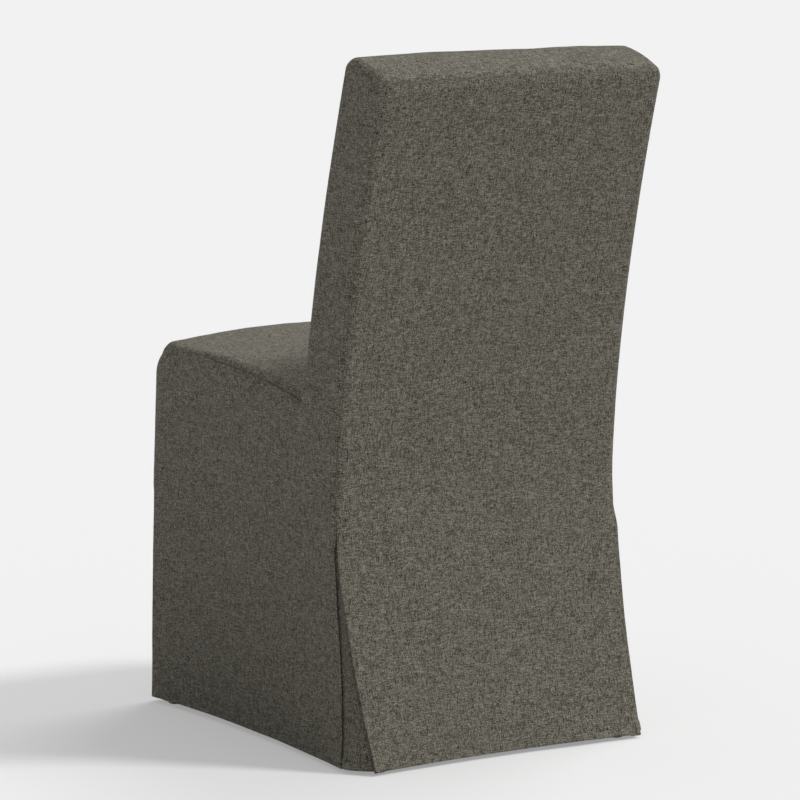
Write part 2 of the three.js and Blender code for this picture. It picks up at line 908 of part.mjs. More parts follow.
// The flank's skin, held back from the seam where the seat's top panel starts
function seatSkinSide(y, level, edge, inset) {
  const half = halfWidthAt(level);
  const top = seatTop(half, y);
  const ramp = clamp((level - pleatTop) / (seatCornerHeight - pleatTop), 0, 1);
  const z = level + (top - seatCornerHeight) * ramp - edge;
  const low = new THREE.Vector3(-half, frontAt(z), -endless);
  const high = new THREE.Vector3(half, endless, 0);
  const radii = seatRadiiAt(y, ramp);
  const p = rounded(new THREE.Vector3(half, y, z - top), low, high, radii, inset);
  return new THREE.Vector3(p.x, p.y, top + p.z);
}

// The strip below the seat's surface, rounded only at its rear edge
function stripBelow(depth, z, inset) {
  const half = halfWidthAt(z);
  const low = new THREE.Vector3(-half, 0, -endless);
  const high = new THREE.Vector3(half, endless, endless);
  const radii = new THREE.Vector3(backEdgeRadius, backEdgeRadius, backEdgeRadius);
  const shown = Math.max(depth, inset + seamGap);
  const p = rounded(new THREE.Vector3(half, shown, z), low, high, radii, inset);
  return onBack(p.x, p.y, z);
}

// The outside back runs from the hem to the top in one piece
function outsideBackCover() {
  const rows = [...skirtRows, ...stripRows, ...backRows.slice(1)];
  return sheet([
    {
      rows: rows.length - 1,
      columns: backColumnShares.length - 1,
      at(row, column, inset) {
        const z = rows[row];
        const side = -backColumnShares[column];
        if (z < pleatTop) {
          return skirtRear(side * backSkirtHalfWidth(z), z, inset);
        }
        const half = halfWidthAt(z);
        const x = edged(side * half, -half, half, inset);
        return backSkin(x, 0, Math.min(z, backHeight - inset - seamGap), inset);
      },
    },
  ]);
}

function insideBackCover() {
  return sheet([
    {
      rows: insideBackRows.length - 1,
      columns: backColumnShares.length - 1,
      at: (row, column, inset) => insideBackSkin(backColumnShares[column], row, inset),
    },
  ]);
}

function topBoxing() {
  const columns = boxingColumns;
  const depths = boxingDepths.toReversed();
  return sheet([
    {
      rows: depths.length - 1,
      columns: columns.length - 1,
      at(row, column, inset) {
        const x = edged(columns[column], -topHalfWidth, topHalfWidth, inset);
        const depth = edged(depths[row], 0, backThickness, inset);
        return backSkin(x, depth, backHeight, inset);
      },
    },
  ]);
}

function seatTopCover() {
  return sheet([
    {
      rows: seatPlaces.length - 1,
      columns: seatColumns.length - 1,
      at(row, column, inset) {
        const x = edged(seatColumns[column], -waistHalfWidth, waistHalfWidth, inset);
        const y = seatPlace(x, row);
        return seatSkin(x, Math.max(y, seatFront + inset + seamGap), seatCornerHeight, inset);
      },
    },
  ]);
}

function frontCover() {
  const levels = [...skirtRows, ...seatLevels];
  const cornerShare = frontRadii.x / waistHalfWidth;
  const columns = stations(2, cornerShare, cornerShare, widthSpans);
  return sheet([
    {
      rows: levels.length - 1,
      columns: columns.length - 1,
      at(row, column, inset) {
        const level = levels[row];
        const side = columns[column] - 1;
        const half = halfWidthAt(level);
        if (row < skirtRows.length) {
          const x = side * (half - frontPleatEdge);
          const rise = frontHemRise * skirtShare(level) ** 4;
          return new THREE.Vector3(x, frontAt(level) + inset, level + rise);
        }
        const x = edged(side * half, -half, half, inset);
        const held = level === seatCornerHeight ? level - inset - seamGap : level;
        return seatSkin(x, frontAt(level), held, inset);
      },
    },
  ]);
}

// The folded underlay behind a rear pleat: along the side, across the opening and on behind the back
function rearUnderlay() {
  const rows = even(hemHeight, pleatTop + underlayRise, skirtSpans + 1);
  const set = clothThickness + clearance;
  const plan = (z) => {
    const side = rearPleatAt(z);
    const deep = skirtRear(backSkirtHalfWidth(z), z, set + underlayDepth).y;
    const start = skirtSide(side - underlayReach, Math.min(z, pleatTop), set);
    const held = set + lerp(underlayDepth, gussetSet, skirtShare(z));
    const turn = skirtSide(side - underlayDepth, Math.min(z, pleatTop), held);
    const corner = Math.min(backSkirtHalfWidth(z) - set, turn.x);
    const cornerY = Math.max(deep, turn.y);
    const bow = gussetBow * skirtShare(z) ** 2;
    return [
      [start.x, start.y],
      [turn.x, turn.y],
      [(turn.x + corner) / 2 + bow, (turn.y + cornerY) / 2],
      [corner, cornerY],
      [corner - underlayReach, skirtRear(corner - underlayReach, z, set).y - underlayDepth],
    ];
  };
  return sheet([
    {
      rows: rows.length - 1,
      columns: 4,
      at(row, column, inset) {
        const z = rows[row];
        const [x, y] = plan(z)[column];
        return new THREE.Vector3(x - (column < 4 ? inset : 0), y - (column > 2 ? inset : 0), z);
      },
    },
  ]);
}

function frontUnderlay() {
  const rows = even(hemHeight + frontHemRise, pleatTop + underlayRise, skirtSpans + 1);
  const set = clothThickness + clearance + underlayDepth;
  return sheet([
    {
      rows: rows.length - 1,
      columns: 2,
      at(row, column, inset) {
        const z = rows[row];
        const ease = underlayEase * (1 - skirtShare(z));
        const x = halfWidthAt(z) - set;
        const y = frontAt(z) + set;
        const plan = [
          [x - underlayReach, y],
          [x - ease, y + ease],
          [x, y + underlayReach],
        ];
        return new THREE.Vector3(
          plan[column][0] - (column > 0 ? inset : 0),
          plan[column][1] + (column < 2 ? inset : 0),
          z,
        );
      },
    },
  ]);
}

addPair("front_leg", frontLeg(), hardwood);
addPair("rear_post", rearPost(), hardwood);
addPair("side_rail", sideRail(), hardwood);
add("front_rail", frontRail(), hardwood);
add("rear_rail", rearRail(), hardwood);
add("crest_rail", backRail(crestLow, postTop), hardwood);
add("lower_back_rail", backRail(lowerRailLow, lowerRailTop), hardwood);
addPair("corner_brace_front", frontBrace(), hardwood);
addPair("corner_brace_rear", rearBrace(), hardwood);
seatStraps();
backStraps();
add("outer_back_board", outerBoard(), hardboard);
add("seat_foam", seatFoam(), foam);
add("back_foam", backFoam(), foam);
add("rear_padding", rearPad(), wadding);
add("top_padding", topPad(), wadding);
add("front_padding", frontPad(), wadding);
addPair("rail_padding", railPadding(), wadding);
addPair("post_padding", postPadding(), wadding);
add("dust_cover", dustCover(), blackCloth);
const footSpot = legFootSize / 2;
const rearFoot = onBack(0, postRear + postFootDepth / 2, footHeight);
addPair("glide_front", glide(frameHalf - footSpot, legFront + footSpot), nylon);
addPair("glide_rear", glide(postFootHalf - postFootWidth / 2, rearFoot.y), nylon);
add("outside_back_cover", outsideBackCover(), linen);
add("inside_back_cover", insideBackCover(), linen);
add("top_boxing_cover", topBoxing(), linen);
add("seat_top_cover", seatTopCover(), linen);
addPair("side_cover", sideCover(), linen);
add("front_cover", frontCover(), linen);
addPair("pleat_underlay_rear", rearUnderlay(), linen);
addPair("pleat_underlay_front", frontUnderlay(), linen);

// The origin is under the middle of the chair's box
const bounds = new THREE.Box3().setFromObject(chair);
chair.position.y = -(bounds.min.y + bounds.max.y) / 2;
chair.updateMatrixWorld(true);

export default chair;
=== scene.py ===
import math
from contextlib import contextmanager

import bmesh
import bpy
import numpy as np
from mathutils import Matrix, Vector


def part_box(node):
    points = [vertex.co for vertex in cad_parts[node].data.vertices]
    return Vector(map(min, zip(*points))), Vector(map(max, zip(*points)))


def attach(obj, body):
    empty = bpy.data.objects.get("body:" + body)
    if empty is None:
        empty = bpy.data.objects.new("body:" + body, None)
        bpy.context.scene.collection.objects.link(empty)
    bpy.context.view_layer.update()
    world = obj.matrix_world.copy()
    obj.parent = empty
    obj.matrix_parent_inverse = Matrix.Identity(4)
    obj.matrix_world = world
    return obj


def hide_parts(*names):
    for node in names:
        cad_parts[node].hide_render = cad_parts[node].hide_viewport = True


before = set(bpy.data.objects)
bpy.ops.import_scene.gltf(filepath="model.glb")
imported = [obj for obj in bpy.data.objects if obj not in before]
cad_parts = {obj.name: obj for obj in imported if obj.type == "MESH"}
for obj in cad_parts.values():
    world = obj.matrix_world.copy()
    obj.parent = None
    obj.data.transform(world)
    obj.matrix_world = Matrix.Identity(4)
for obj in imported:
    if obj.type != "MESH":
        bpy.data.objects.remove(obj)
bpy.context.scene.view_settings.view_transform = "Standard"
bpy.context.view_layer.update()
bpy.ops.object.select_all(action="DESELECT")

# Metres throughout. The chair faces -Y. Heights and widths that shape the cover:
SEAT_CORNER_HEIGHT = 0.530
WAIST_HEIGHT = 0.370
BACK_HEIGHT = 0.942
HEM_HEIGHT = 0.0055
RAKE = 0.1145
RAKE_POWER = 1.56
KICK = 0.0823
KICK_POWER = 1.69
BACK_THICKNESS = 0.100
BACK_EDGE = 0.015
TOP_RISE = 0.003
TOP_CROWN = 0.006
CROWN_FADE = 0.100
WAIST_HALF_WIDTH = 0.2355
TOP_HALF_WIDTH = 0.232
HEM_HALF_WIDTH = 0.236
SEAT_FRONT = -0.506
SEAT_CROWN = 0.016
CREVICE_ROW = 0.487
DIP_LENGTH = 0.258
MIDDLE_DIP_SHARE = 0.5
SEAT_RADII = np.array([0.014, 0.023, 0.026])
FRONT_RADII = np.array([0.028, 0.041, 0.050])
FRONT_FADE = 0.110

# The skirt, whose panels part below the top of the pleats
PLEAT_TOP = 0.328
HEM_FRONT = -0.512
REAR_PLEAT_START = -0.0075
REAR_PLEAT_HEM = 0.034
BACK_HEM_HALF_WIDTH = 0.222
FRONT_PLEAT_TOP = 0.0120
FRONT_PLEAT_HEM = 0.009
SIDE_BOW = 0.011
SIDE_FLARE = 0.012
SIDE_FLARE_POWER = 1.4
SIDE_HEM_RISE = 0.0005
FRONT_HEM_RISE = 0.003
REAR_BOW = 0.008
REAR_HEM_RISE = 0.0015

# The folded cloth behind the rear and front pleats
UNDERLAY_REACH = 0.034
UNDERLAY_DEPTH = 0.004
UNDERLAY_RISE = 0.012
UNDERLAY_SET = 0.0025
UNDERLAY_EASE = 0.0009
UNDERLAY_BLEND = 0.045
UNDERLAY_HEM = (0.014, 0.034)
REAR_FOLD_SET = 0.001
REAR_FOLD_BOW = 0.008
REAR_FOLD_CLEAR = 0.0004
REAR_FOLD_FLUSH = (0.018, 0.009)
REAR_FOLD_FLUSH_SET = 0.0003
REAR_FOLD_TURN = (0.0015, 0.0010)
REAR_FOLD_COLUMNS = (8, 15, 9)
FRONT_FOLD_CLEAR = 0.002
FRONT_FOLD_TOP_CLEAR = 0.0035
FRONT_FOLD_RADIUS = 0.004
FRONT_FOLD_STEPS = 9

# The cloth, its folded edges and its seams
CLOTH = 0.0008
FOLD_RADIUS = 0.00085
HEM_DEPTH = 0.011
PLEAT_RETURN = 0.014
SEAM_ROLL = 0.0006
SEAM_GAP = 0.00004
SEAM_ALLOWANCE = 0.0022
SEAM_STRETCH = 1.3
SEAM_HOLD = SEAM_STRETCH * SEAM_ROLL + SEAM_GAP
BACK_HOLD = (BACK_EDGE, SEAM_HOLD)
SEAT_SEAM_ROLL = 0.0007
SEAT_SEAM_GAP = 0.00060
SEAT_SEAM_STRETCH = 1.3
SEAT_HOLD = SEAT_SEAM_STRETCH * SEAT_SEAM_ROLL + SEAT_SEAM_GAP
EDGE_STEPS = 6
MESH_STEP = 0.005
FINE_STEP = 0.0018
PLEAT_BLEND = 0.014
REAR_SHAPE_BLEND = 0.042
FRONT_SHAPE_BLEND = 0.110
CREVICE_BLEND = 0.030
TUCK_RADIUS = 0.004
TUCK_RUN = 0.012
MERGE_DISTANCE = 0.00001
FLAT_ANGLE = 0.001
TINY = 1e-9
ROW_ROUNDS = 4
FAR = np.inf
NO_HOLD = (0, 0)

# Where each panel is cut from the cloth, in metres, so that no two show the same yarns
OUTSIDE_BACK_CUT = (0, 0.31)
INSIDE_BACK_CUT = (1.3, 0.7)
TOP_CUT = (2.1, 0)
SEAT_CUT = (3.2, 0)
FRONT_CUT = (4.4, 0)
SIDE_CUT = (6, 0)
REAR_FOLD_CUT = (8.3, 0)
FRONT_FOLD_CUT = (9.7, 0)

# The front skirt's hem is the foremost thing on the chair, which gives where the waist's rear face lies
WAIST_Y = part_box("front_cover")[0].y - HEM_FRONT


def mix(start, end, share):
    return start + (end - start) * share


def share_of(value, start, end):
    return np.clip((value - start) / (end - start), 0, 1)


def smooth(share):
    return share * share * (3 - 2 * share)


def fade(value, start, end):
    """Smoothly from 0 at the start to 1 at the end."""
    return smooth(share_of(value, start, end))


def bulge(share):
    """1 halfway between two ends and 0 at both."""
    return 1 - (2 * share - 1) ** 2


def unit(vectors):
    return vectors / np.maximum(np.linalg.norm(vectors, axis=-1, keepdims=True), TINY)


def xyz(x, y, z):
    return np.stack(np.broadcast_arrays(x, y, z), -1).astype(float)


# Side outline of the back: it rakes up from the waist and kicks out again down to the hem
def rear_line(z):
    up = np.maximum(z - WAIST_HEIGHT, 0) / (BACK_HEIGHT - WAIST_HEIGHT)
    down = np.maximum(WAIST_HEIGHT - z, 0) / (WAIST_HEIGHT - HEM_HEIGHT)
    return RAKE * up**RAKE_POWER + KICK * down**KICK_POWER


def lean_at(z):
    above = np.maximum(z - WAIST_HEIGHT, TINY)
    return np.where(z > WAIST_HEIGHT, np.arctan(RAKE_POWER * rear_line(z) / above), 0)


def on_back(x, depth, z):
    """A point at a depth in front of the outside back, square to it."""
    lean = lean_at(z)
    return xyz(x, rear_line(z) - depth * np.cos(lean), z + depth * np.sin(lean))


def half_width(z):
    above = mix(WAIST_HALF_WIDTH, TOP_HALF_WIDTH, share_of(z, WAIST_HEIGHT, BACK_HEIGHT))
    return mix(above, HEM_HALF_WIDTH, share_of(z, WAIST_HEIGHT, HEM_HEIGHT))


def skirt_share(z):
    """0 at the top of the pleats and 1 at the hem."""
    return share_of(z, PLEAT_TOP, HEM_HEIGHT)


def front_at(z):
    return mix(SEAT_FRONT, HEM_FRONT, skirt_share(z))


CREVICE = on_back(0, BACK_THICKNESS, CREVICE_ROW)
DIP = SEAT_CORNER_HEIGHT - CREVICE[2]


def seat_top(x, y):
    side = np.clip(np.abs(x) / WAIST_HALF_WIDTH, 0, 1)
    back = share_of(y, CREVICE[1] - DIP_LENGTH, CREVICE[1])
    dip = DIP * mix(MIDDLE_DIP_SHARE, 1, side**2) * back**2
    return SEAT_CORNER_HEIGHT + SEAT_CROWN * (1 - side**2) - dip


def rounded(point, low, high, radii):
    """A point of a sharp-edged block moved to where the block's rounded skin has it."""
    held = np.clip(point, low, high)
    core = np.clip(held, low + radii, high - radii)
    away = (held - core) / radii
    reach = np.linalg.norm(away, axis=-1, keepdims=True)
    return core + away / np.maximum(reach, TINY) * radii


def back_skin(x, depth, z):
    half = half_width(z)
    low, high = xyz(-half, 0, -FAR), xyz(half, BACK_THICKNESS, 0)
    block = rounded(xyz(x, depth, z - BACK_HEIGHT), low, high, BACK_EDGE)
    x, depth, below = block[..., 0], block[..., 1], block[..., 2]
    rise = TOP_RISE * (1 - (x / half) ** 4) + TOP_CROWN * bulge(depth / BACK_THICKNESS)
    return on_back(x, depth, BACK_HEIGHT + below + rise * np.clip(1 + below / CROWN_FADE, 0, 1))


def seat_skin(x, y, level):
    """The seat's skin: its level runs from the pleats up to the height of the seat's corners."""
    ramp = share_of(level, PLEAT_TOP, SEAT_CORNER_HEIGHT)
    top = seat_top(x, y)
    z = level + (top - SEAT_CORNER_HEIGHT) * ramp
    half = half_width(z)
    near_front = 1 - share_of(y, SEAT_FRONT, SEAT_FRONT + FRONT_FADE)
    radii = SEAT_RADII + (FRONT_RADII - SEAT_RADII) * (ramp * near_front)[..., None]
    low, high = xyz(-half, front_at(z), -FAR), xyz(half, FAR, 0)
    block = rounded(xyz(x, y, z - top), low, high, radii)
    return xyz(block[..., 0], block[..., 1], top + block[..., 2])


def past_edge(place, y):
    """A place measured up and in over the seat's side edge, moved on where the seam rides up at the front."""
    near_front = 1 - fade(y, SEAT_FRONT, SEAT_FRONT + SEAM_SHIFT_LENGTH)
    return place + SEAM_SHIFT * near_front * (1 - fade(np.abs(place), 0, SEAM_SHIFT_REACH))


def flank_skin(side, y, level):
    over = past_edge(level - SEAT_CORNER_HEIGHT, y)
    inward = np.maximum(over, 0)
    level = SEAT_CORNER_HEIGHT + np.minimum(over, 0)
    return seat_skin(side * (half_width(level) - inward), y, level)


def strip_skin(side, depth, z):
    """The side of the back below the seat's surface, rounded only at its rear edge."""
    half = half_width(z)
    low, high = xyz(-half, 0, -FAR), xyz(half, FAR, FAR)
    block = rounded(xyz(side * half, depth, z), low, high, BACK_EDGE)
    return on_back(block[..., 0], block[..., 1], z)


def rear_pleat_at(z):
    return mix(REAR_PLEAT_START, REAR_PLEAT_HEM, skirt_share(z))


def front_pleat_at(z):
    """How far from the front corner the skirt's folded edges lie."""
    return mix(FRONT_PLEAT_TOP, FRONT_PLEAT_HEM, skirt_share(z))


def skirt_side(side, y, z, depth=0):
    start = front_at(z)
    along = share_of(y, start, rear_pleat_at(z))
    flare = SIDE_FLARE * skirt_share(z) ** 4 * along**SIDE_FLARE_POWER
    out = half_width(z) + flare - SIDE_BOW * skirt_share(z) ** 2 * bulge(along) - depth
    rise = SIDE_HEM_RISE * bulge(along) + FRONT_HEM_RISE * (1 - along)
    return xyz(side * out, y, z + rise * skirt_share(z) ** 4)


def back_skirt_half_width(z):
    return mix(half_width(z), BACK_HEM_HALF_WIDTH, skirt_share(z))


def skirt_rear(x, z, depth=0):
    middle = bulge(0.5 + x / (2 * back_skirt_half_width(z)))
    y = rear_line(z) - REAR_BOW * skirt_share(z) ** 2 * middle - depth
    return xyz(x, y, z + REAR_HEM_RISE * skirt_share(z) ** 4 * middle)


def skirt_front(x, z):
    return xyz(x, front_at(z), z + FRONT_HEM_RISE * skirt_share(z) ** 4)


def inside_back_at(z):
    """Where the inside back's face lies at a height, with its row found by rounds of closer guesses."""
    row = z
    for _ in range(ROW_ROUNDS):
        row = z - BACK_THICKNESS * np.sin(lean_at(row))
    return on_back(0, BACK_THICKNESS, row)[..., 1]


# Edges of the cloth: how far in from the edge and how deep each step round it lies
def turned_edge(radius, angle, run):
    turn = np.linspace(0, angle, EDGE_STEPS)
    along = radius * (1 - np.sin(turn))
    depth = radius * (1 - np.cos(turn))
    runs = np.array([0.5, 1.0]) * run
    along = np.append(along, along[-1] - math.cos(angle) * runs)
    depth = np.append(depth, depth[-1] + math.sin(angle) * runs)
    return along, depth


SEAM_ALONG, SEAM_DEPTH = turned_edge(SEAM_ROLL, math.pi / 2, SEAM_ALLOWANCE)
SEAM_ALONG = SEAM_ALONG * SEAM_STRETCH + SEAM_GAP
SEAT_ALONG, SEAT_DEPTH = turned_edge(SEAT_SEAM_ROLL, math.pi / 2, SEAM_ALLOWANCE)
SEAT_ALONG = SEAT_ALONG * SEAT_SEAM_STRETCH + SEAT_SEAM_GAP
FOLD_ALONG, FOLD_DEPTH = turned_edge(FOLD_RADIUS, math.pi, PLEAT_RETURN)
HEM_ALONG, HEM_TURN = turned_edge(FOLD_RADIUS, math.pi, HEM_DEPTH - FOLD_RADIUS)
TUCK_ALONG, TUCK_DEPTH = turned_edge(TUCK_RADIUS, math.pi / 2, TUCK_RUN)


def rounding(radius, hold):
    """Distances from a sharp edge that divide its rounded skin evenly, from a hold out to the radius."""
    if radius <= hold:
        return np.array([hold])
    last = math.atan(1 - hold / radius)
    steps = max(3, round(radius * last / FINE_STEP))
    return radius * (1 - np.tan(np.linspace(last, 0, steps)))


def stations(length, start, end, step=MESH_STEP):
    """Places along a face between two edges, each given as (radius, hold)."""
    first, last = rounding(*start), length - rounding(*end)[::-1]
    count = max(2, round((last[0] - first[-1]) / step))
    return np.concatenate([first, np.linspace(first[-1], last[0], count + 1)[1:-1], last])


def open_share(z):
    """0 above the pleats, where the panels are sewn together, and 1 below, where their edges are folded."""
    return fade(z, PLEAT_TOP, PLEAT_TOP - PLEAT_BLEND)


def skirt_shape(z, length=REAR_SHAPE_BLEND):
    """How far the panels have gone from the rounded form above the pleats to the flat skirt."""
    return fade(z, PLEAT_TOP, PLEAT_TOP - length)


# Unevenness of the padding and the cloth, and the seams
RIPPLE_SPREAD = (0.7, 1.8)


def ripples(seed, wavelength, count=9):
    """Soft unevenness of padding and cloth, about -1 to 1."""
    draw = np.random.default_rng(seed)
    ways = draw.normal(size=(count, 3))
    lengths = wavelength * draw.uniform(*RIPPLE_SPREAD, count)
    ways = unit(ways) * (2 * math.pi / lengths)[:, None]
    phases = draw.uniform(0, 2 * math.pi, count)
    return lambda points: np.sin(points @ ways.T + phases).sum(-1) / math.sqrt(count)


WADDING_RIPPLE = ripples(3, 0.110)
CLOTH_RIPPLE = ripples(11, 0.040)
SEAM_RIPPLE = ripples(23, 0.011)
SKIRT_RIPPLE = ripples(31, 0.200)
WADDING_UNEVENNESS = 0.0008
CLOTH_UNEVENNESS = 0.00022
PUCKER = 0.00014
PUCKER_EVEN = 0.6
PUCKER_VARIED = 0.5
PUCKER_REACH = 0.006
SKIRT_SWAY = 0.0016
SEAM_REACH = 0.02
FREE_EDGE = 0.05
UNSEWN_START = 0.03
SEAM_RIDGE = 0.0011
RIDGE_START = 0.0018
RIDGE_END = 0.003
RIDGE_CORNER = (0.010, 0.045)
SEAT_STITCH_DROP = 0.0065
STITCH_SINK = 0.6
STITCH_SINK_REACH = 0.0012
SEAM_SHIFT = 0.012
SEAM_SHIFT_LENGTH = 0.220
SEAM_SHIFT_REACH = 0.042


def unevenness(points, to_seam):
    """How far the cloth stands out from its smooth form, drawn in along its seams."""
    free = 1 - np.exp(-to_seam / SEAM_REACH)
    skirt = skirt_share(points[..., 2])
    out = free * (WADDING_UNEVENNESS * WADDING_RIPPLE(points) + CLOTH_UNEVENNESS * CLOTH_RIPPLE(points))
    out += SKIRT_SWAY * skirt**2 * SKIRT_RIPPLE(points) * free
    pucker = PUCKER * (PUCKER_EVEN + PUCKER_VARIED * SEAM_RIPPLE(points))
    return out - pucker * np.exp(-to_seam / PUCKER_REACH)


def laid(skin, across, along, depth, facing, to_seam, raised=0):
    """Points of a panel on its skin, at a depth below it and with its unevenness, square to the skin."""
    step = FOLD_RADIUS / 2
    points = skin(across, along)
    over = skin(across + step, along) - skin(across - step, along)
    up = skin(across, along + step) - skin(across, along - step)
    normal = unit(np.cross(over, up))
    normal *= np.where(normal @ np.array(facing, float) < 0, -1, 1)[..., None]
    return points + normal * (unevenness(points, to_seam) + raised - depth)[..., None]


# Sheets
def only(piece):
    bpy.ops.object.select_all(action="DESELECT")
    piece.select_set(True)
    bpy.context.view_layer.objects.active = piece


def linked(name, data):
    """A new object in the scene, and the only one selected."""
    piece = bpy.data.objects.new(name, data)
    bpy.context.scene.collection.objects.link(piece)
    only(piece)
    return piece


def modify(piece, kind, **settings):
    only(piece)
    modifier = piece.modifiers.new(kind.title(), kind)
    for key, value in settings.items():
        setattr(modifier, key, value)
    bpy.ops.object.modifier_apply(modifier=modifier.name)


@contextmanager
def reshaped(mesh):
    """A mesh's editable form, written back at the end."""
    shape = bmesh.new()
    shape.from_mesh(mesh)
    yield shape
    shape.to_mesh(mesh)
    shape.free()


def joined(pieces):
    """Several pieces made one."""
    only(pieces[0])
    for piece in pieces[1:]:
        piece.select_set(True)
    if len(pieces) > 1:
        bpy.ops.object.join()
    return bpy.context.object


def face_outwards(piece):
    only(piece)
    bpy.ops.object.mode_set(mode="EDIT")
    bpy.ops.mesh.select_all(action="SELECT")
    bpy.ops.mesh.normals_make_consistent(inside=False)
    bpy.ops.object.mode_set(mode="OBJECT")


def shaded_smooth(piece):
    piece.data.polygons.foreach_set("use_smooth", [True] * len(piece.data.polygons))
    return piece


def grid_piece(name, points, threads):
    """A grid primitive with its points laid out in rows, and a map in metres along its threads."""
    rows, columns = points.shape[:2]
    bpy.ops.object.select_all(action="DESELECT")
    bpy.ops.mesh.primitive_grid_add(x_subdivisions=columns - 1, y_subdivisions=rows - 1, calc_uvs=True)
    piece = bpy.context.object
    piece.name = piece.data.name = name
    mesh = piece.data
    placed = points + np.array([0, WAIST_Y, 0])
    mesh.vertices.foreach_set("co", placed.reshape(-1))
    corners = np.empty(len(mesh.loops), int)
    mesh.loops.foreach_get("vertex_index", corners)
    mesh.uv_layers[0].name = "threads"
    mesh.uv_layers[0].data.foreach_set("uv", threads.reshape(-1, 2)[corners].reshape(-1))
    mesh.update()
    return piece


def sheet_piece(name, patches, facing):
    """Patches joined where they share points and facing outwards, with the cloth's thickness behind them."""
    piece = joined([grid_piece(name, points, threads) for points, threads in patches])
    with reshaped(piece.data) as shape:
        bmesh.ops.remove_doubles(shape, verts=shape.verts, dist=MERGE_DISTANCE)
        bmesh.ops.dissolve_degenerate(shape, edges=shape.edges, dist=MERGE_DISTANCE)
        shape.normal_update()
        if sum(face.normal.dot(Vector(facing)) * face.calc_area() for face in shape.faces) < 0:
            bmesh.ops.reverse_faces(shape, faces=shape.faces)
    modify(piece, "SOLIDIFY", thickness=CLOTH, offset=-1)
    return shaded_smooth(piece)


# Rows and columns that the panels share
HEM_TOP = HEM_HEIGHT + HEM_DEPTH + 0.004
SKIRT_LEVELS = np.concatenate([
    np.linspace(HEM_HEIGHT + FOLD_RADIUS, HEM_TOP, 10)[1:-1],
    np.linspace(HEM_TOP, PLEAT_TOP, 62),
])
HEM_LEVELS = HEM_HEIGHT + HEM_ALONG[::-1]
SKIRT_ROWS = np.concatenate([HEM_LEVELS, SKIRT_LEVELS])
SKIRT_TURN = np.concatenate([HEM_TURN[::-1], np.zeros(len(SKIRT_LEVELS))])
SEAT_LEVELS = PLEAT_TOP + stations(SEAT_CORNER_HEIGHT - PLEAT_TOP, NO_HOLD, (FRONT_RADII[2], SEAT_HOLD))[1:]
SEAT_SEAM_LEVELS = SEAT_CORNER_HEIGHT - SEAT_ALONG[1:]
STRIP_ROWS = mix(PLEAT_TOP, CREVICE_ROW, share_of(SEAT_LEVELS, PLEAT_TOP, SEAT_CORNER_HEIGHT))
BACK_ROWS = STRIP_ROWS[-1] + stations(BACK_HEIGHT - STRIP_ROWS[-1], NO_HOLD, BACK_HOLD)[1:]
BACK_SEAM_ROWS = BACK_HEIGHT - SEAM_ALONG[1:]


def flat_depth(rows, ends):
    """A depth for each row: none on the flat, then those of an edge, without its first step."""
    return np.concatenate([np.zeros(rows), ends[1:]])


# The front panel and the flanks run from the hem to the seat's seam
FLANK_ROWS = np.concatenate([SKIRT_ROWS, SEAT_LEVELS, SEAT_SEAM_LEVELS])
FLANK_DEPTH = np.concatenate([SKIRT_TURN, flat_depth(len(SEAT_LEVELS), SEAT_DEPTH)])


def column_shares(radius):
    """Where a panel's inner columns lie between its middle, 0, and the first ones at its edges, -1 and 1."""
    edge = (radius, SEAM_HOLD)
    columns = stations(2 * WAIST_HALF_WIDTH, edge, edge) - WAIST_HALF_WIDTH
    return columns / (WAIST_HALF_WIDTH - SEAM_HOLD)


BACK_SHARES = column_shares(BACK_EDGE)
SEAT_SHARES = column_shares(FRONT_RADII[0])


def in_rows(values, shape):
    """One value for each row, spread over the row's columns."""
    return np.broadcast_to(values[:, None], shape)


def edge_columns(rows):
    """How far in and how deep the columns at a panel's side edge lie: sewn above, folded below."""
    opened = open_share(rows)[:, None]
    return mix(SEAM_ALONG, FOLD_ALONG, opened), mix(SEAM_DEPTH, FOLD_DEPTH, opened)


def across_panel(rows, row_depth, shares, edge):
    """The places and depths of a panel that is the same on both sides: from edge to edge in each row."""
    along, depth = edge_columns(rows)
    edge = edge[:, None]
    inner = shares[None, 1:-1] * (edge - along[:, :1])
    left = (edge - along)[:, ::-1]
    x = np.concatenate([-left, inner, left[:, ::-1]], 1)
    none = np.zeros_like(inner)
    deep = np.concatenate([depth[:, ::-1], none, depth], 1) + row_depth[:, None]
    to_side = np.concatenate([np.zeros_like(along), edge - np.abs(inner), np.zeros_like(along)], 1)
    return x, deep, to_side


def threads_of(points, first, second, cut=(0, 0)):
    """A panel's map: two coordinates of its flat cut, in metres, from where it is cut."""
    return np.stack(np.broadcast_arrays(first + cut[0], second + cut[1]), -1) + 0 * points[..., :2]


def folded_only(z):
    """0 where a panel's side edges are sewn, and a length that keeps them free where they are folded."""
    return FREE_EDGE * open_share(z)


def panel(name, facing, skin, across, along, depth, to_seam, cut, run=None):
    """A panel of one patch. Its threads lie across it and along its run, or else up it."""
    points = laid(skin, across, along, depth, facing, to_seam)
    threads = threads_of(points, across, points[..., 2] if run is None else run, cut)
    return sheet_piece(name, [(points, threads)], facing)


def run_along(line):
    """The length along a line of points, from its start to each."""
    return np.append(0, np.cumsum(np.linalg.norm(np.diff(line, axis=0), axis=1)))


HEIGHTS = np.linspace(0, 1, 801)
BACK_RUN = run_along(np.stack([HEIGHTS, rear_line(HEIGHTS)], -1))


def run_up_back(z):
    """The length along the sabre curve from the floor to a height."""
    return np.interp(z, HEIGHTS, BACK_RUN)


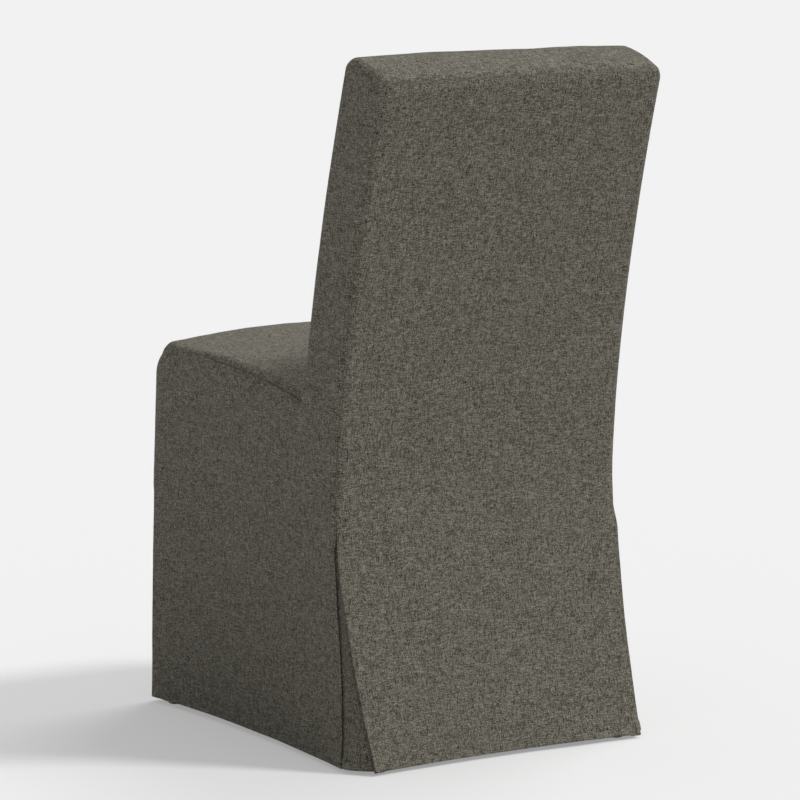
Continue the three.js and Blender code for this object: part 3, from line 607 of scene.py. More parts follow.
def outside_back():
    rows = np.concatenate([SKIRT_ROWS, STRIP_ROWS, BACK_ROWS, BACK_SEAM_ROWS])
    row_depth = np.concatenate([SKIRT_TURN, flat_depth(len(STRIP_ROWS) + len(BACK_ROWS), SEAM_DEPTH)])
    edge = mix(half_width(rows) - SEAM_GAP, back_skirt_half_width(rows), open_share(rows))
    x, depth, to_side = across_panel(rows, row_depth, BACK_SHARES, edge)

    def skin(x, z):
        return mix(back_skin(x, 0, z), skirt_rear(x, z), skirt_shape(z)[..., None])

    z = in_rows(rows, x.shape)
    to_seam = np.minimum(to_side + folded_only(z), BACK_HEIGHT - z)
    run = run_up_back(z)
    return panel("outside_back_panel", (0, 1, 0), skin, x, z, depth, to_seam, OUTSIDE_BACK_CUT, run)


def inside_back():
    tuck = np.linspace(CREVICE_ROW - SEAT_RADII[2], CREVICE_ROW, 6)[:-1]
    rows = np.concatenate([tuck, [CREVICE_ROW], BACK_ROWS, BACK_SEAM_ROWS])
    row_depth = flat_depth(len(tuck) + 1 + len(BACK_ROWS), SEAM_DEPTH)
    tucked = fade(rows, CREVICE_ROW, tuck[0])
    edge = half_width(rows) - SEAM_GAP - BACK_EDGE / 2 * tucked
    x, depth, to_side = across_panel(rows, row_depth, BACK_SHARES, edge)

    def skin(x, z):
        away = fade(z, CREVICE_ROW, tuck[0])[..., None]
        return mix(back_skin(x, BACK_THICKNESS, z), on_back(x, BACK_THICKNESS, z), away)

    z = in_rows(rows, x.shape)
    to_seam = np.minimum(to_side, BACK_HEIGHT - z)
    run = run_up_back(z)
    return panel("inside_back_panel", (0, -1, 0), skin, x, z, depth, to_seam, INSIDE_BACK_CUT, run)


def top_boxing():
    inner = stations(BACK_THICKNESS, BACK_HOLD, BACK_HOLD, FINE_STEP * 2)
    d = np.concatenate([SEAM_ALONG[:0:-1], inner, BACK_THICKNESS - SEAM_ALONG[1:]])
    row_depth = np.concatenate([SEAM_DEPTH[:0:-1], flat_depth(len(inner), SEAM_DEPTH)])
    level = np.full(len(d), BACK_HEIGHT)
    x, depth, to_side = across_panel(level, row_depth, BACK_SHARES, half_width(level) - SEAM_GAP)
    d = in_rows(d, x.shape)
    to_seam = np.minimum(to_side, np.minimum(d, BACK_THICKNESS - d))

    def skin(x, d):
        return back_skin(x, d, np.full_like(d, BACK_HEIGHT))

    return panel("top_boxing_panel", (0, 0, 1), skin, x, d, depth, to_seam, TOP_CUT, d)


def seat_top_panel():
    depth_of_seat = CREVICE[1] - SEAT_FRONT
    inner = stations(depth_of_seat, (FRONT_RADII[1], SEAM_HOLD), (TUCK_RADIUS, TUCK_RADIUS))
    rows = np.concatenate([SEAM_ALONG[:0:-1], inner])
    row_depth = np.concatenate([SEAM_DEPTH[:0:-1], flat_depth(len(inner), TUCK_DEPTH)])
    sewn = np.full(len(row_depth), BACK_HEIGHT)
    edge = np.full(len(sewn), WAIST_HALF_WIDTH - SEAT_SEAM_GAP)
    x, depth, to_side = across_panel(sewn, row_depth, SEAT_SHARES, edge)
    rear = inside_back_at(seat_top(x, CREVICE[1])) - CLOTH
    share = np.append(rows / depth_of_seat, np.ones(len(TUCK_ALONG) - 1))
    y = mix(SEAT_FRONT, rear, in_rows(share, x.shape))
    y[len(rows):] -= TUCK_ALONG[1:, None]

    def skin(x, y):
        over = past_edge(WAIST_HALF_WIDTH - np.abs(x), y)
        return seat_skin(np.sign(x) * (WAIST_HALF_WIDTH - over), y, np.full_like(y, SEAT_CORNER_HEIGHT))

    to_seam = np.minimum(to_side, y - SEAT_FRONT)
    return panel("seat_top_panel", (0, 0, 1), skin, x, y, depth, to_seam, SEAT_CUT, y)


def front_panel():
    rows = FLANK_ROWS
    edge = half_width(rows) - mix(SEAM_GAP, front_pleat_at(rows), open_share(rows))
    x, depth, to_side = across_panel(rows, FLANK_DEPTH, SEAT_SHARES, edge)

    def skin(x, level):
        flat = skirt_shape(level, FRONT_SHAPE_BLEND)[..., None]
        return mix(seat_skin(x, front_at(level), level), skirt_front(x, level), flat)

    level = in_rows(rows, x.shape)
    to_seam = np.minimum(to_side + folded_only(level), SEAT_CORNER_HEIGHT - level)
    return panel("front_panel", (0, -1, 0), skin, x, level, depth, to_seam, FRONT_CUT)


def seam_ridge(y, drop):
    """The seat seam's ridge, down to its stitches, which sink into it. It fades out at the front corner."""
    ridge = SEAM_RIDGE * fade(drop, 0, RIDGE_START)
    ridge *= fade(drop, SEAT_STITCH_DROP, SEAT_STITCH_DROP - RIDGE_END)
    ridge -= SEAM_RIDGE * STITCH_SINK * np.exp(-(((drop - SEAT_STITCH_DROP) / STITCH_SINK_REACH) ** 2))
    return ridge * fade(y - SEAT_FRONT, *RIDGE_CORNER)


def flank_patch(side):
    """The flank of the seat and skirt."""
    rows = FLANK_ROWS
    offsets = stations(-BACK_THICKNESS - SEAT_FRONT, (FRONT_RADII[1], SEAM_HOLD), NO_HOLD)
    shares = (offsets - offsets[0]) / (offsets[-1] - offsets[0])
    along, edge_depth = edge_columns(rows)
    front = (front_at(rows) + mix(SEAM_GAP, front_pleat_at(rows), open_share(rows)))[:, None]
    strip_row = mix(PLEAT_TOP, CREVICE_ROW, share_of(rows, PLEAT_TOP, SEAT_CORNER_HEIGHT))
    divide = on_back(0, BACK_THICKNESS, np.maximum(strip_row, WAIST_HEIGHT))[..., 1]
    inner = mix(front + along[:, :1], divide[:, None], shares[None, :])
    y = np.concatenate([(front + along)[:, :0:-1], inner], 1)
    depth = np.concatenate([edge_depth[:, :0:-1], 0 * inner], 1) + FLANK_DEPTH[:, None]
    level = in_rows(rows, y.shape)

    def skin(y, level):
        flat = skirt_shape(level, FRONT_SHAPE_BLEND)[..., None]
        return mix(flank_skin(side, y, level), skirt_side(side, y, level), flat)

    to_front = np.maximum(y - front, 0) + folded_only(level)
    drop = SEAT_CORNER_HEIGHT - level
    return laid(skin, y, level, depth, (side, 0, 0), np.minimum(to_front, drop), seam_ridge(y, drop))


def lower_strip_patch(side, inner, flank):
    """The strip beside the back below the seat's surface, whose first column is the flank's last."""
    rows = np.concatenate([SKIRT_ROWS, STRIP_ROWS])
    row_depth = np.concatenate([SKIRT_TURN, np.zeros(len(STRIP_ROWS))])
    along, edge_depth = edge_columns(rows)
    inner_d = np.broadcast_to((BACK_THICKNESS - inner)[None, :], (len(rows), len(inner)))
    d = np.concatenate([inner_d, along[:, 1:]], 1)
    depth = np.concatenate([0 * inner_d, edge_depth[:, 1:]], 1) + row_depth[:, None]
    z = in_rows(rows, d.shape)
    beside = flank[: len(rows), -1]
    apart = beside[:, 2] - strip_skin(side, np.full(len(rows), BACK_THICKNESS), rows)[:, 2]
    apart = apart * (1 - skirt_shape(rows))

    def skin(d, z):
        y = mix(rear_pleat_at(z), -BACK_THICKNESS, d / BACK_THICKNESS)
        return mix(strip_skin(side, d, z), skirt_side(side, y, z), skirt_shape(z)[..., None])

    points = laid(skin, d, z, depth, (side, 0, 0), np.maximum(d, 0) + folded_only(z))
    points[..., 2] += apart[:, None] * np.clip(d / BACK_THICKNESS, 0, 1)
    points[:, 0] = beside
    return points


def upper_strip_patch(side, inner, base):
    """The strip above the seat's surface, whose front edge is sewn to the inside back."""
    start = STRIP_ROWS[-1]
    rows = np.concatenate([[start], BACK_ROWS, BACK_SEAM_ROWS])
    row_depth = flat_depth(1 + len(BACK_ROWS), SEAM_DEPTH)
    started = share_of(rows, start, start + TUCK_RADIUS)[:, None]
    upper = stations(BACK_THICKNESS, BACK_HOLD, BACK_HOLD)
    below = np.interp(np.linspace(0, 1, len(upper)), np.linspace(0, 1, len(inner)), BACK_THICKNESS - inner)
    d_inner = mix(below[None, :], (BACK_THICKNESS - upper)[None, :], started)
    along, edge_depth = edge_columns(rows)
    d = np.concatenate([BACK_THICKNESS - along[:, :0:-1] * started, d_inner, along[:, 1:]], 1)
    depth = np.concatenate([edge_depth[:, :0:-1] * started, 0 * d_inner, edge_depth[:, 1:]], 1)
    depth += row_depth[:, None]
    z = in_rows(rows, d.shape)

    def risen(z):
        return fade(z, start, start + CREVICE_BLEND)

    def skin(d, z):
        return mix(strip_skin(side, d, z), back_skin(side * half_width(z), d, z), risen(z)[..., None])

    to_front = np.maximum(BACK_THICKNESS - d, UNSEWN_START * (1 - risen(z)))
    to_seam = np.minimum(np.minimum(d, to_front), BACK_HEIGHT - z)
    points = laid(skin, d, z, depth, (side, 0, 0), to_seam)
    shared = np.interp(BACK_THICKNESS - d[0], inner, np.arange(len(inner)))
    ends = len(along[0]) - 1
    points[0, ends:-ends] = interpolated(base[: len(inner)], shared[ends:-ends])
    points[0, :ends] = base[0]
    points[0, -ends:] = base[-ends:]
    return points


def side_panel(side, name):
    """One side in one cloth: the flank of the seat and skirt, and the strip that climbs the back's side."""
    inner = stations(BACK_THICKNESS, NO_HOLD, BACK_HOLD)
    flank = flank_patch(side)
    lower = lower_strip_patch(side, inner, flank)
    upper = upper_strip_patch(side, inner, lower[-1])
    patches = [
        (points, threads_of(points, points[..., 1] * -side, points[..., 2], SIDE_CUT))
        for points in (flank, lower, upper)
    ]
    return sheet_piece(name, patches, (side, 0, 0))


def interpolated(points, places):
    """Points at fractional places along a row of points."""
    low = np.clip(np.floor(places).astype(int), 0, len(points) - 2)
    return mix(points[low], points[low + 1], (places - low)[:, None])


# The pieces behind the pleats: their rows are the skirt's and two above
UNDERLAY_LEVELS = PLEAT_TOP + np.array([0.5, 1]) * UNDERLAY_RISE
UNDERLAY_TURN = np.append(SKIRT_TURN, [0, 0])


def outward(plan, axis):
    """The outward way, square to each line of a plan."""
    way = np.gradient(plan, axis=axis)
    return unit(np.stack([way[..., 1], -way[..., 0]], -1))


def fold_piece(name, side, plan, z, line, cut, facing):
    """A folded cloth from its plan at each height, with the threads' run measured along one line of it."""
    height = in_rows(z, plan.shape[:2])
    points = np.concatenate([plan * [side, 1], height[..., None]], -1)
    threads = threads_of(points, run_along(line)[None, :] * side, height, cut)
    return sheet_piece(name, [(points, threads)], facing)


def softened(line, times):
    """Points or values along a line, each drawn towards the mean of its neighbours. The ends stay."""
    for _ in range(times):
        line[1:-1] = line[1:-1] / 2 + (line[:-2] + line[2:]) / 4
    return line


def rear_fold(side, name):
    """Behind a rear pleat: along the side, flush at the hem, across the opening, in behind the back."""
    z = np.append(SKIRT_ROWS, UNDERLAY_LEVELS)
    share = skirt_share(z)
    edge = rear_pleat_at(z)
    level = np.minimum(z, PLEAT_TOP)
    flush = fade(z - HEM_HEIGHT, *REAR_FOLD_FLUSH)
    set_back = mix(UNDERLAY_SET + mix(UNDERLAY_DEPTH, REAR_FOLD_SET, share), REAR_FOLD_FLUSH_SET, flush)
    hidden = skirt_side(1, edge - UNDERLAY_REACH, level, UNDERLAY_SET + REAR_FOLD_CLEAR)
    last = skirt_side(1, edge - REAR_FOLD_TURN[0], level, UNDERLAY_SET + REAR_FOLD_CLEAR)
    turn = skirt_side(1, edge + REAR_FOLD_TURN[1], level, set_back)
    near = skirt_shape(z, UNDERLAY_BLEND) * fade(z - HEM_HEIGHT, *UNDERLAY_HEM)
    apart = UNDERLAY_SET + mix(UNDERLAY_DEPTH, UNDERLAY_EASE, near)

    def behind_back_at(x):
        """Where the cloth lies behind the back panel, whose unevenness it follows."""
        place = skirt_rear(x, z)
        return place[..., 1] + unevenness(place, FREE_EDGE) * near - apart

    width = back_skirt_half_width(z)
    corner_x = np.minimum(width - UNDERLAY_SET, turn[..., 0])
    corner = np.stack([corner_x, np.maximum(behind_back_at(width), turn[..., 1])], -1)
    inner_x = corner_x - UNDERLAY_REACH
    inner = np.stack([inner_x, behind_back_at(inner_x)], -1)
    behind_side, across, behind_back = (np.linspace(0, 1, n)[None, :, None] for n in REAR_FOLD_COLUMNS)
    middle = mix(turn[:, None, :2], corner[:, None], across)
    middle[..., 0] += REAR_FOLD_BOW * share[:, None] ** 2 * bulge(across[..., 0])
    behind_side = mix(hidden[:, None, :2], last[:, None, :2], behind_side)
    behind_back = mix(corner[:, None], inner[:, None], behind_back[:, 1:])
    plan = np.concatenate([behind_side, middle, behind_back], 1)
    plan = softened(plan.swapaxes(0, 1), 2).swapaxes(0, 1)
    plan = plan - outward(plan, 1) * UNDERLAY_TURN[:, None, None]
    return fold_piece(name, side, plan, z, plan[len(HEM_LEVELS)], REAR_FOLD_CUT, (side, 0.3, 0))


def front_fold(side, name):
    """Behind a front pleat: one cloth folded round the corner."""
    z = np.append(SKIRT_ROWS + FRONT_HEM_RISE, UNDERLAY_LEVELS)
    set_back = CLOTH + UNDERLAY_SET + FRONT_FOLD_CLEAR
    set_back = set_back + FRONT_FOLD_TOP_CLEAR * (1 - skirt_shape(z, FRONT_SHAPE_BLEND))
    corner = np.stack([half_width(z) - set_back, front_at(z) + set_back], -1)
    radius = FRONT_FOLD_RADIUS
    turn = np.linspace(0, math.pi / 2, FRONT_FOLD_STEPS)
    arc = np.stack([radius * np.sin(turn) - radius, radius - radius * np.cos(turn)], -1)
    lead = np.linspace(UNDERLAY_REACH, radius, FRONT_FOLD_STEPS)[:-1]
    front_run = np.stack([-lead, 0 * lead], -1)
    side_run = np.stack([0 * lead, lead], -1)[::-1]
    line = np.concatenate([front_run, arc, side_run])
    plan = corner[:, None] + line - outward(line, 0) * UNDERLAY_TURN[:, None, None]
    return fold_piece(name, side, plan, z, line, FRONT_FOLD_CUT, (side, -1, 0))


# Thread: short capsules laid along a line of points
STITCH_LENGTH = 0.0032
STITCH_PITCH = 0.0046
STITCH_RADIUS = 0.00028
STITCH_BEVEL = 0.6
STITCH_SET = 0.3
STITCH_LIFT = 0.4
STITCH_ARCH = 2.4
STITCH_START = 0.004
STITCH_LINE_POINTS = 240
SKIN_STEP = 0.0004


def stitches(name, points, out):
    """A row of stitches along a smooth line, each a short closed capsule of a few faces."""
    run = run_along(points)
    count = int(run[-1] / STITCH_PITCH)
    centres = (np.arange(count) + 0.5) * STITCH_PITCH
    bpy.ops.object.select_all(action="DESELECT")
    bpy.ops.mesh.primitive_cylinder_add(vertices=6, radius=STITCH_RADIUS, depth=STITCH_LENGTH)
    piece = bpy.context.object
    bpy.ops.object.mode_set(mode="EDIT")
    bpy.ops.mesh.select_all(action="SELECT")
    bpy.ops.mesh.bevel(offset=STITCH_RADIUS * STITCH_BEVEL, segments=1, affect="EDGES")
    bpy.ops.object.mode_set(mode="OBJECT")
    one = np.array([vertex.co for vertex in piece.data.vertices])
    faces = [tuple(polygon.vertices) for polygon in piece.data.polygons]
    bpy.data.objects.remove(piece)

    def at(values, where):
        return np.stack([np.interp(where, run, values[:, axis]) for axis in range(3)], -1)

    middle = at(points, centres) + at(out, centres) * STITCH_RADIUS * STITCH_LIFT
    way = unit(at(points, centres + STITCH_LENGTH / 2) - at(points, centres - STITCH_LENGTH / 2))
    up = at(out, centres)
    up = unit(up - way * (up * way).sum(1, keepdims=True))
    beside = np.cross(up, way)
    arched = one[:, 2:] / STITCH_LENGTH
    placed = (
        middle[:, None]
        + beside[:, None] * one[None, :, :1]
        + up[:, None] * (one[None, :, 1:2] - STITCH_RADIUS * STITCH_ARCH * arched[None] ** 2)
        + way[:, None] * one[None, :, 2:]
    )
    vertices = placed.reshape(-1, 3) + np.array([0, WAIST_Y, 0])
    all_faces = [tuple(index + k * len(one) for index in face) for k in range(count) for face in faces]
    mesh = bpy.data.meshes.new(name)
    mesh.from_pydata(vertices.tolist(), [], all_faces)
    row = linked(name, mesh)
    face_outwards(row)
    return shaded_smooth(row)


def seat_stitches(side, name):
    """The topstitching beside the seat's side seam."""
    y = np.linspace(SEAT_FRONT + FRONT_RADII[1] + STITCH_START, CREVICE[1] - STITCH_START, STITCH_LINE_POINTS)
    level = np.full_like(y, SEAT_CORNER_HEIGHT - SEAT_STITCH_DROP)
    points = flank_skin(side, y, level)
    along = flank_skin(side, y + SKIN_STEP, level) - flank_skin(side, y - SKIN_STEP, level)
    up = flank_skin(side, y, level + SKIN_STEP) - flank_skin(side, y, level - SKIN_STEP)
    out = unit(np.cross(along, up))
    out *= np.where(out[:, :1] * side < 0, -1, 1)
    return stitches(name, points - out * SEAM_RIDGE * STITCH_SET, out)


# Soft pieces inside
def copy_of(node, name):
    """A CAD node's mesh, merged, as a piece of its own."""
    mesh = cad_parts[node].data.copy()
    mesh.name = name
    mesh.materials.clear()
    with reshaped(mesh) as shape:
        bmesh.ops.remove_doubles(shape, verts=shape.verts, dist=MERGE_DISTANCE)
        bmesh.ops.dissolve_limit(shape, angle_limit=FLAT_ANGLE, verts=shape.verts, edges=shape.edges)
    return linked(name, mesh)


def corners_of(mesh):
    points = np.empty(3 * len(mesh.vertices))
    mesh.vertices.foreach_get("co", points)
    return points.reshape(-1, 3)


def place_corners(mesh, points):
    mesh.vertices.foreach_set("co", np.ascontiguousarray(points).reshape(-1))
    mesh.update()


def normals_of(mesh):
    normals = np.empty(3 * len(mesh.vertices))
    mesh.vertices.foreach_get("normal", normals)
    return normals.reshape(-1, 3)


FOAM_VOXEL = 0.006
FOAM_CUT_SMALL = 0.0010
SWELL_LIMIT = 0.0008
SWELL_PRESSURE = 4
SWELL_FRAMES = 12


def foam_piece(node, name):
    """Foam cut a little small and swollen by a cloth simulation, never further than its limit."""
    piece = copy_of(node, name)
    modify(piece, "REMESH", mode="VOXEL", voxel_size=FOAM_VOXEL)
    mesh = piece.data
    place_corners(mesh, corners_of(mesh) - normals_of(mesh) * FOAM_CUT_SMALL)
    before = corners_of(mesh)
    only(piece)
    cloth = piece.modifiers.new("Swell", "CLOTH")
    cloth.settings.use_pressure = True
    cloth.settings.uniform_pressure_force = SWELL_PRESSURE
    cloth.settings.effector_weights.gravity = 0
    cloth.point_cache.frame_end = SWELL_FRAMES
    for step in range(SWELL_FRAMES):
        bpy.context.scene.frame_set(step + 1)
    bpy.ops.object.modifier_apply(modifier=cloth.name)
    bpy.context.scene.frame_set(1)
    moved = corners_of(mesh) - before
    reach = np.linalg.norm(moved, axis=1, keepdims=True)
    place_corners(mesh, before + moved * np.minimum(1, SWELL_LIMIT / np.maximum(reach, TINY)))
    return shaded_smooth(piece)


def sliced(piece, steps):
    """Cuts a piece into a lattice, so that it can follow a soft form."""
    points = corners_of(piece.data)
    low, high = points.min(0), points.max(0)
    with reshaped(piece.data) as shape:
        for axis, step in enumerate(steps):
            if step is None:
                continue
            normal = np.eye(3)[axis]
            for place in np.arange(low[axis] + step, high[axis] - step / 3, step):
                parts = shape.verts[:] + shape.edges[:] + shape.faces[:]
                bmesh.ops.bisect_plane(shape, geom=parts, plane_co=normal * place, plane_no=normal)
        shape.normal_update()
    piece.data.update()


FIBRE_RIPPLE = ripples(41, 0.030)
FIBRE_SET = 0.00035
FIBRE_UNEVENNESS = 0.00025


def wadding_piece(node, name, steps):
    """Fibre wadding: its faces stand a little uneven inside the room that it has."""
    piece = copy_of(node, name)
    sliced(piece, steps)
    mesh = piece.data
    points = corners_of(mesh)
    inward = FIBRE_SET + FIBRE_UNEVENNESS * FIBRE_RIPPLE(points)
    place_corners(mesh, points - normals_of(mesh) * inward[:, None])
    return shaded_smooth(piece)


# Where the frame is that the straps run across, and how a strap is woven
FRAME_HALF = WAIST_HALF_WIDTH - 0.0095
BOARD_MARGIN = 0.010
STRAP_WIDTH = 0.060
STRAP_THICKNESS = 0.002
STRAP_WAVE = 0.0013
STRAP_ROWS = 90
STRAP_BODY_COLUMNS = 13
SELVAGE_STEPS = np.array([0, 0.0008, 0.0026, 0.004, 0.005])
SELVAGE_MIDDLE = 0.0022
SELVAGE_REACH = 0.0020
BODY_START = 0.009
BODY_THINNER = 0.0005
STRAP_CLEAR = 0.0001
OTHER_FACE = 0.5
LEG_FRONT = SEAT_FRONT + 0.0106
LEG_INNER = FRAME_HALF - 0.042
POST_INNER = FRAME_HALF - 0.032
POST_FRONT = 0.0516
REAR_RAIL_REAR = 0.0196
RAIL_TOP = SEAT_CORNER_HEIGHT - 0.082
LOWER_RAIL_LOW = CREVICE_ROW + 0.045
POST_TOP = BACK_HEIGHT - 0.012
GAP = 0.0003


def strap_piece(name, start, end, across, crossings, first_up, place):
    """A woven strap with thicker selvages, passing over and under those that it crosses."""
    bends = [(start, -STRAP_WAVE)]
    for k, centre in enumerate(crossings):
        wave = STRAP_WAVE if (k % 2 == 0) == first_up else -STRAP_WAVE
        bends += [(centre - STRAP_WIDTH / 2, wave), (centre + STRAP_WIDTH / 2, wave)]
    bends.append((end, -STRAP_WAVE))
    along = np.linspace(start, end, STRAP_ROWS)
    wave = softened(np.interp(along, *zip(*bends)), 3)
    half = STRAP_WIDTH / 2
    body = np.linspace(-half + BODY_START, half - BODY_START, STRAP_BODY_COLUMNS)
    over = np.concatenate([-half + SELVAGE_STEPS, body, half - SELVAGE_STEPS[::-1]])
    selvage = np.abs(np.abs(over) - half + SELVAGE_MIDDLE) < SELVAGE_REACH
    thick = STRAP_THICKNESS - np.where(selvage, 0, BODY_THINNER) - STRAP_CLEAR
    over = np.broadcast_to(over[None, :], (len(along), len(over)))
    lift = (wave + STRAP_WAVE + STRAP_THICKNESS / 2)[:, None]
    pieces = []
    for face in (1, -1):
        points = place(along[:, None] + 0 * over, across + over, lift + face * thick[None, :] / 2)
        threads = threads_of(points, over + OTHER_FACE * (face > 0), along[:, None])
        pieces.append(grid_piece(name, points, threads))
    piece = joined(pieces)
    bpy.ops.object.mode_set(mode="EDIT")
    bpy.ops.mesh.select_all(action="DESELECT")
    bpy.ops.mesh.select_non_manifold(extend=False)
    bpy.ops.mesh.bridge_edge_loops()
    bpy.ops.object.mode_set(mode="OBJECT")
    face_outwards(piece)
    return shaded_smooth(piece)


def woven_straps(kind, run, centres, crossings, over_first, length, place):
    """Straps side by side, alternately over and under those that they cross."""
    made = []
    for k, centre in enumerate(centres):
        name = f"{kind}_{k + 1}"
        strap = strap_piece(name + "_woven", *run, centre, crossings, k % 2 == over_first, place)
        made.append((name, strap, length))
    return made


def seat_straps():
    left = FRAME_HALF - BOARD_MARGIN
    front, rear = LEG_FRONT + BOARD_MARGIN, -REAR_RAIL_REAR - BOARD_MARGIN
    xs = [side * (LEG_INNER / 2 + BOARD_MARGIN) for side in (-1, 0, 1)]
    ys = [mix(front, rear, k / 4) for k in (1, 2, 3)]
    height = RAIL_TOP + GAP
    return woven_straps(
        "seat_strap_long", (front, rear), xs, ys, 0, rear - front,
        lambda along, across, up: xyz(across, along, height + up),
    ) + woven_straps(
        "seat_strap_cross", (-left, left), ys, xs, 1, 2 * left,
        lambda along, across, up: xyz(along, across, height + up),
    )


def back_straps():
    left = FRAME_HALF - BOARD_MARGIN
    low, high = LOWER_RAIL_LOW + BOARD_MARGIN, POST_TOP - BOARD_MARGIN
    xs = [side * POST_INNER / 2 for side in (-1, 1)]
    zs = [mix(low, high, k / 4) for k in (1, 2, 3)]
    depth = POST_FRONT + GAP
    return woven_straps(
        "back_strap_upright", (low, high), xs, zs, 0, run_up_back(high) - run_up_back(low),
        lambda along, across, up: on_back(across, depth + up, along),
    ) + woven_straps(
        "back_strap_cross", (-left, left), zs, xs, 1, 2 * left,
        lambda along, across, up: on_back(along, depth + up, across),
    )


DUST_STEP = 0.016
DUST_MARGIN = 0.014
DUST_SAG = 0.0026
DUST_SAG_LENGTH = 1 / 2.2
DUST_UNEVENNESS = 0.0006
DUST_RIPPLE = 0.4


def dust_cloth():
    """The black cloth under the rails, hanging a little between them."""
    piece = copy_of("dust_cover", "dust_cloth")
    sliced(piece, (DUST_STEP, DUST_STEP, None))
    mesh = piece.data
    points = corners_of(mesh)
    low, high = points.min(0), points.max(0)
    inside = (high - low) / 2 - DUST_MARGIN
    away = fade(1 - np.abs(points - (high + low) / 2) / inside, 0, DUST_SAG_LENGTH)
    sag = DUST_SAG + DUST_UNEVENNESS * CLOTH_RIPPLE(points * DUST_RIPPLE)
    points[:, 2] -= away[:, 0] * away[:, 1] * sag
    place_corners(mesh, points)
    return shaded_smooth(piece)


# Shaders: an expression on values adds its Math nodes
class Value:
    """One output socket of a material's node tree."""

    def __init__(self, finish, socket):
        self.finish = finish
        self.socket = socket

    def math(self, operation, *others):
        return self.finish.node("ShaderNodeMath", {"operation": operation}, self, *others)["Value"]

    def __add__(self, other):
        return self.math("ADD", other)

    __radd__ = __add__

    def __sub__(self, other):
        return self.math("SUBTRACT", other)

    def __rsub__(self, other):
        return self.finish.node("ShaderNodeMath", {"operation": "SUBTRACT"}, other, self)["Value"]

    def __mul__(self, other):
        return self.math("MULTIPLY", other)

    __rmul__ = __mul__

    def clear_of(self, low, high):
        """0 up to low, 1 from high, smooth between."""
        settings = {"interpolation_type": "SMOOTHSTEP"}
        return self.finish.node("ShaderNodeMapRange", settings, self, low, high)["Result"]


class Finish:
    """A node-based material."""

    def __init__(self, name):
        self.material = bpy.data.materials.new(name)
        self.material.use_nodes = True
        self.tree = self.material.node_tree
        self.shader = self.tree.nodes["Principled BSDF"]

    def node(self, kind, settings=None, *places, **named):
        """A new node's outputs by name, its inputs fed by place or by name."""
        node = self.tree.nodes.new(kind)
        for key, value in (settings or {}).items():
            setattr(node, key, value)
        for key, value in [*enumerate(places), *named.items()]:
            self.feed(node.inputs[key if isinstance(key, int) else key.replace("_", " ")], value)
        return {socket.name: Value(self, socket) for socket in node.outputs}

    def feed(self, socket, value):
        if isinstance(value, Value):
            self.tree.links.new(value.socket, socket)
        elif isinstance(value, tuple) and socket.type == "RGBA":
            socket.default_value = (*value, 1)
        else:
            socket.default_value = value

    def set(self, **sockets):
        for name, value in sockets.items():
            self.feed(self.shader.inputs[name.replace("_", " ")], value)

    def where(self):
        """The place on the object, in metres."""
        return self.node("ShaderNodeTexCoord")["Object"]

    def threads(self):
        """The place on the cloth, in metres along its threads."""
        return self.node("ShaderNodeUVMap", {"uv_map": "threads"})["UV"]

    def split(self, vector):
        parts = self.node("ShaderNodeSeparateXYZ", None, vector)
        return parts["X"], parts["Y"], parts["Z"]

    def joined(self, x, y, z=0.0):
        return self.node("ShaderNodeCombineXYZ", None, x, y, z)["Vector"]

    def noise(self, vector, scale, detail=2.0, roughness=0.5, dimensions="3D", distortion=0.0):
        settings = {"noise_dimensions": dimensions}
        sockets = {"Vector": vector, "Scale": scale, "Detail": detail, "Roughness": roughness}
        return self.node("ShaderNodeTexNoise", settings, **sockets, Distortion=distortion)["Fac"]

    def yarn_noise(self, x, y, detail=0.0, roughness=0.5):
        """Noise over two values, which may be a yarn's number and the place along it."""
        return self.noise(self.joined(x, y), 1.0, detail, roughness, "2D")

    def scaled(self, vector, amounts):
        settings = {"operation": "MULTIPLY"}
        return self.node("ShaderNodeVectorMath", settings, vector, amounts)["Vector"]

    def blend(self, first, second, share):
        """Two colours mixed."""
        node = self.tree.nodes.new("ShaderNodeMix")
        node.data_type = "RGBA"
        self.feed(node.inputs["Factor"], share)
        self.feed(node.inputs[6], first)
        self.feed(node.inputs[7], second)
        return Value(self, node.outputs[2])

    def made(self, colour, roughness, relief=None, depth=0.0):
        """The finished material: its colour, its roughness and how deep its relief goes, in metres."""
        self.set(Base_Color=colour, Roughness=roughness)
        if relief is not None:
            bump = self.node("ShaderNodeBump", None, Height=relief, Distance=depth, Strength=1.0)
            self.set(Normal=bump["Normal"])
        return self.material


WARP_PITCH = 0.00098
WEFT_PITCH = 0.00092
YARN_WANDER = 0.7
LINEN = (0.1040, 0.0964, 0.0764)
LINEN_SLUB = (0.172, 0.171, 0.162)
LINEN_FLECK = (0.150, 0.152, 0.080)
LINEN_CONTRAST = 0.41
LINEN_LEVEL = 1.03
LINEN_DARKEST = 0.2
LINEN_GAMMA = 2.2


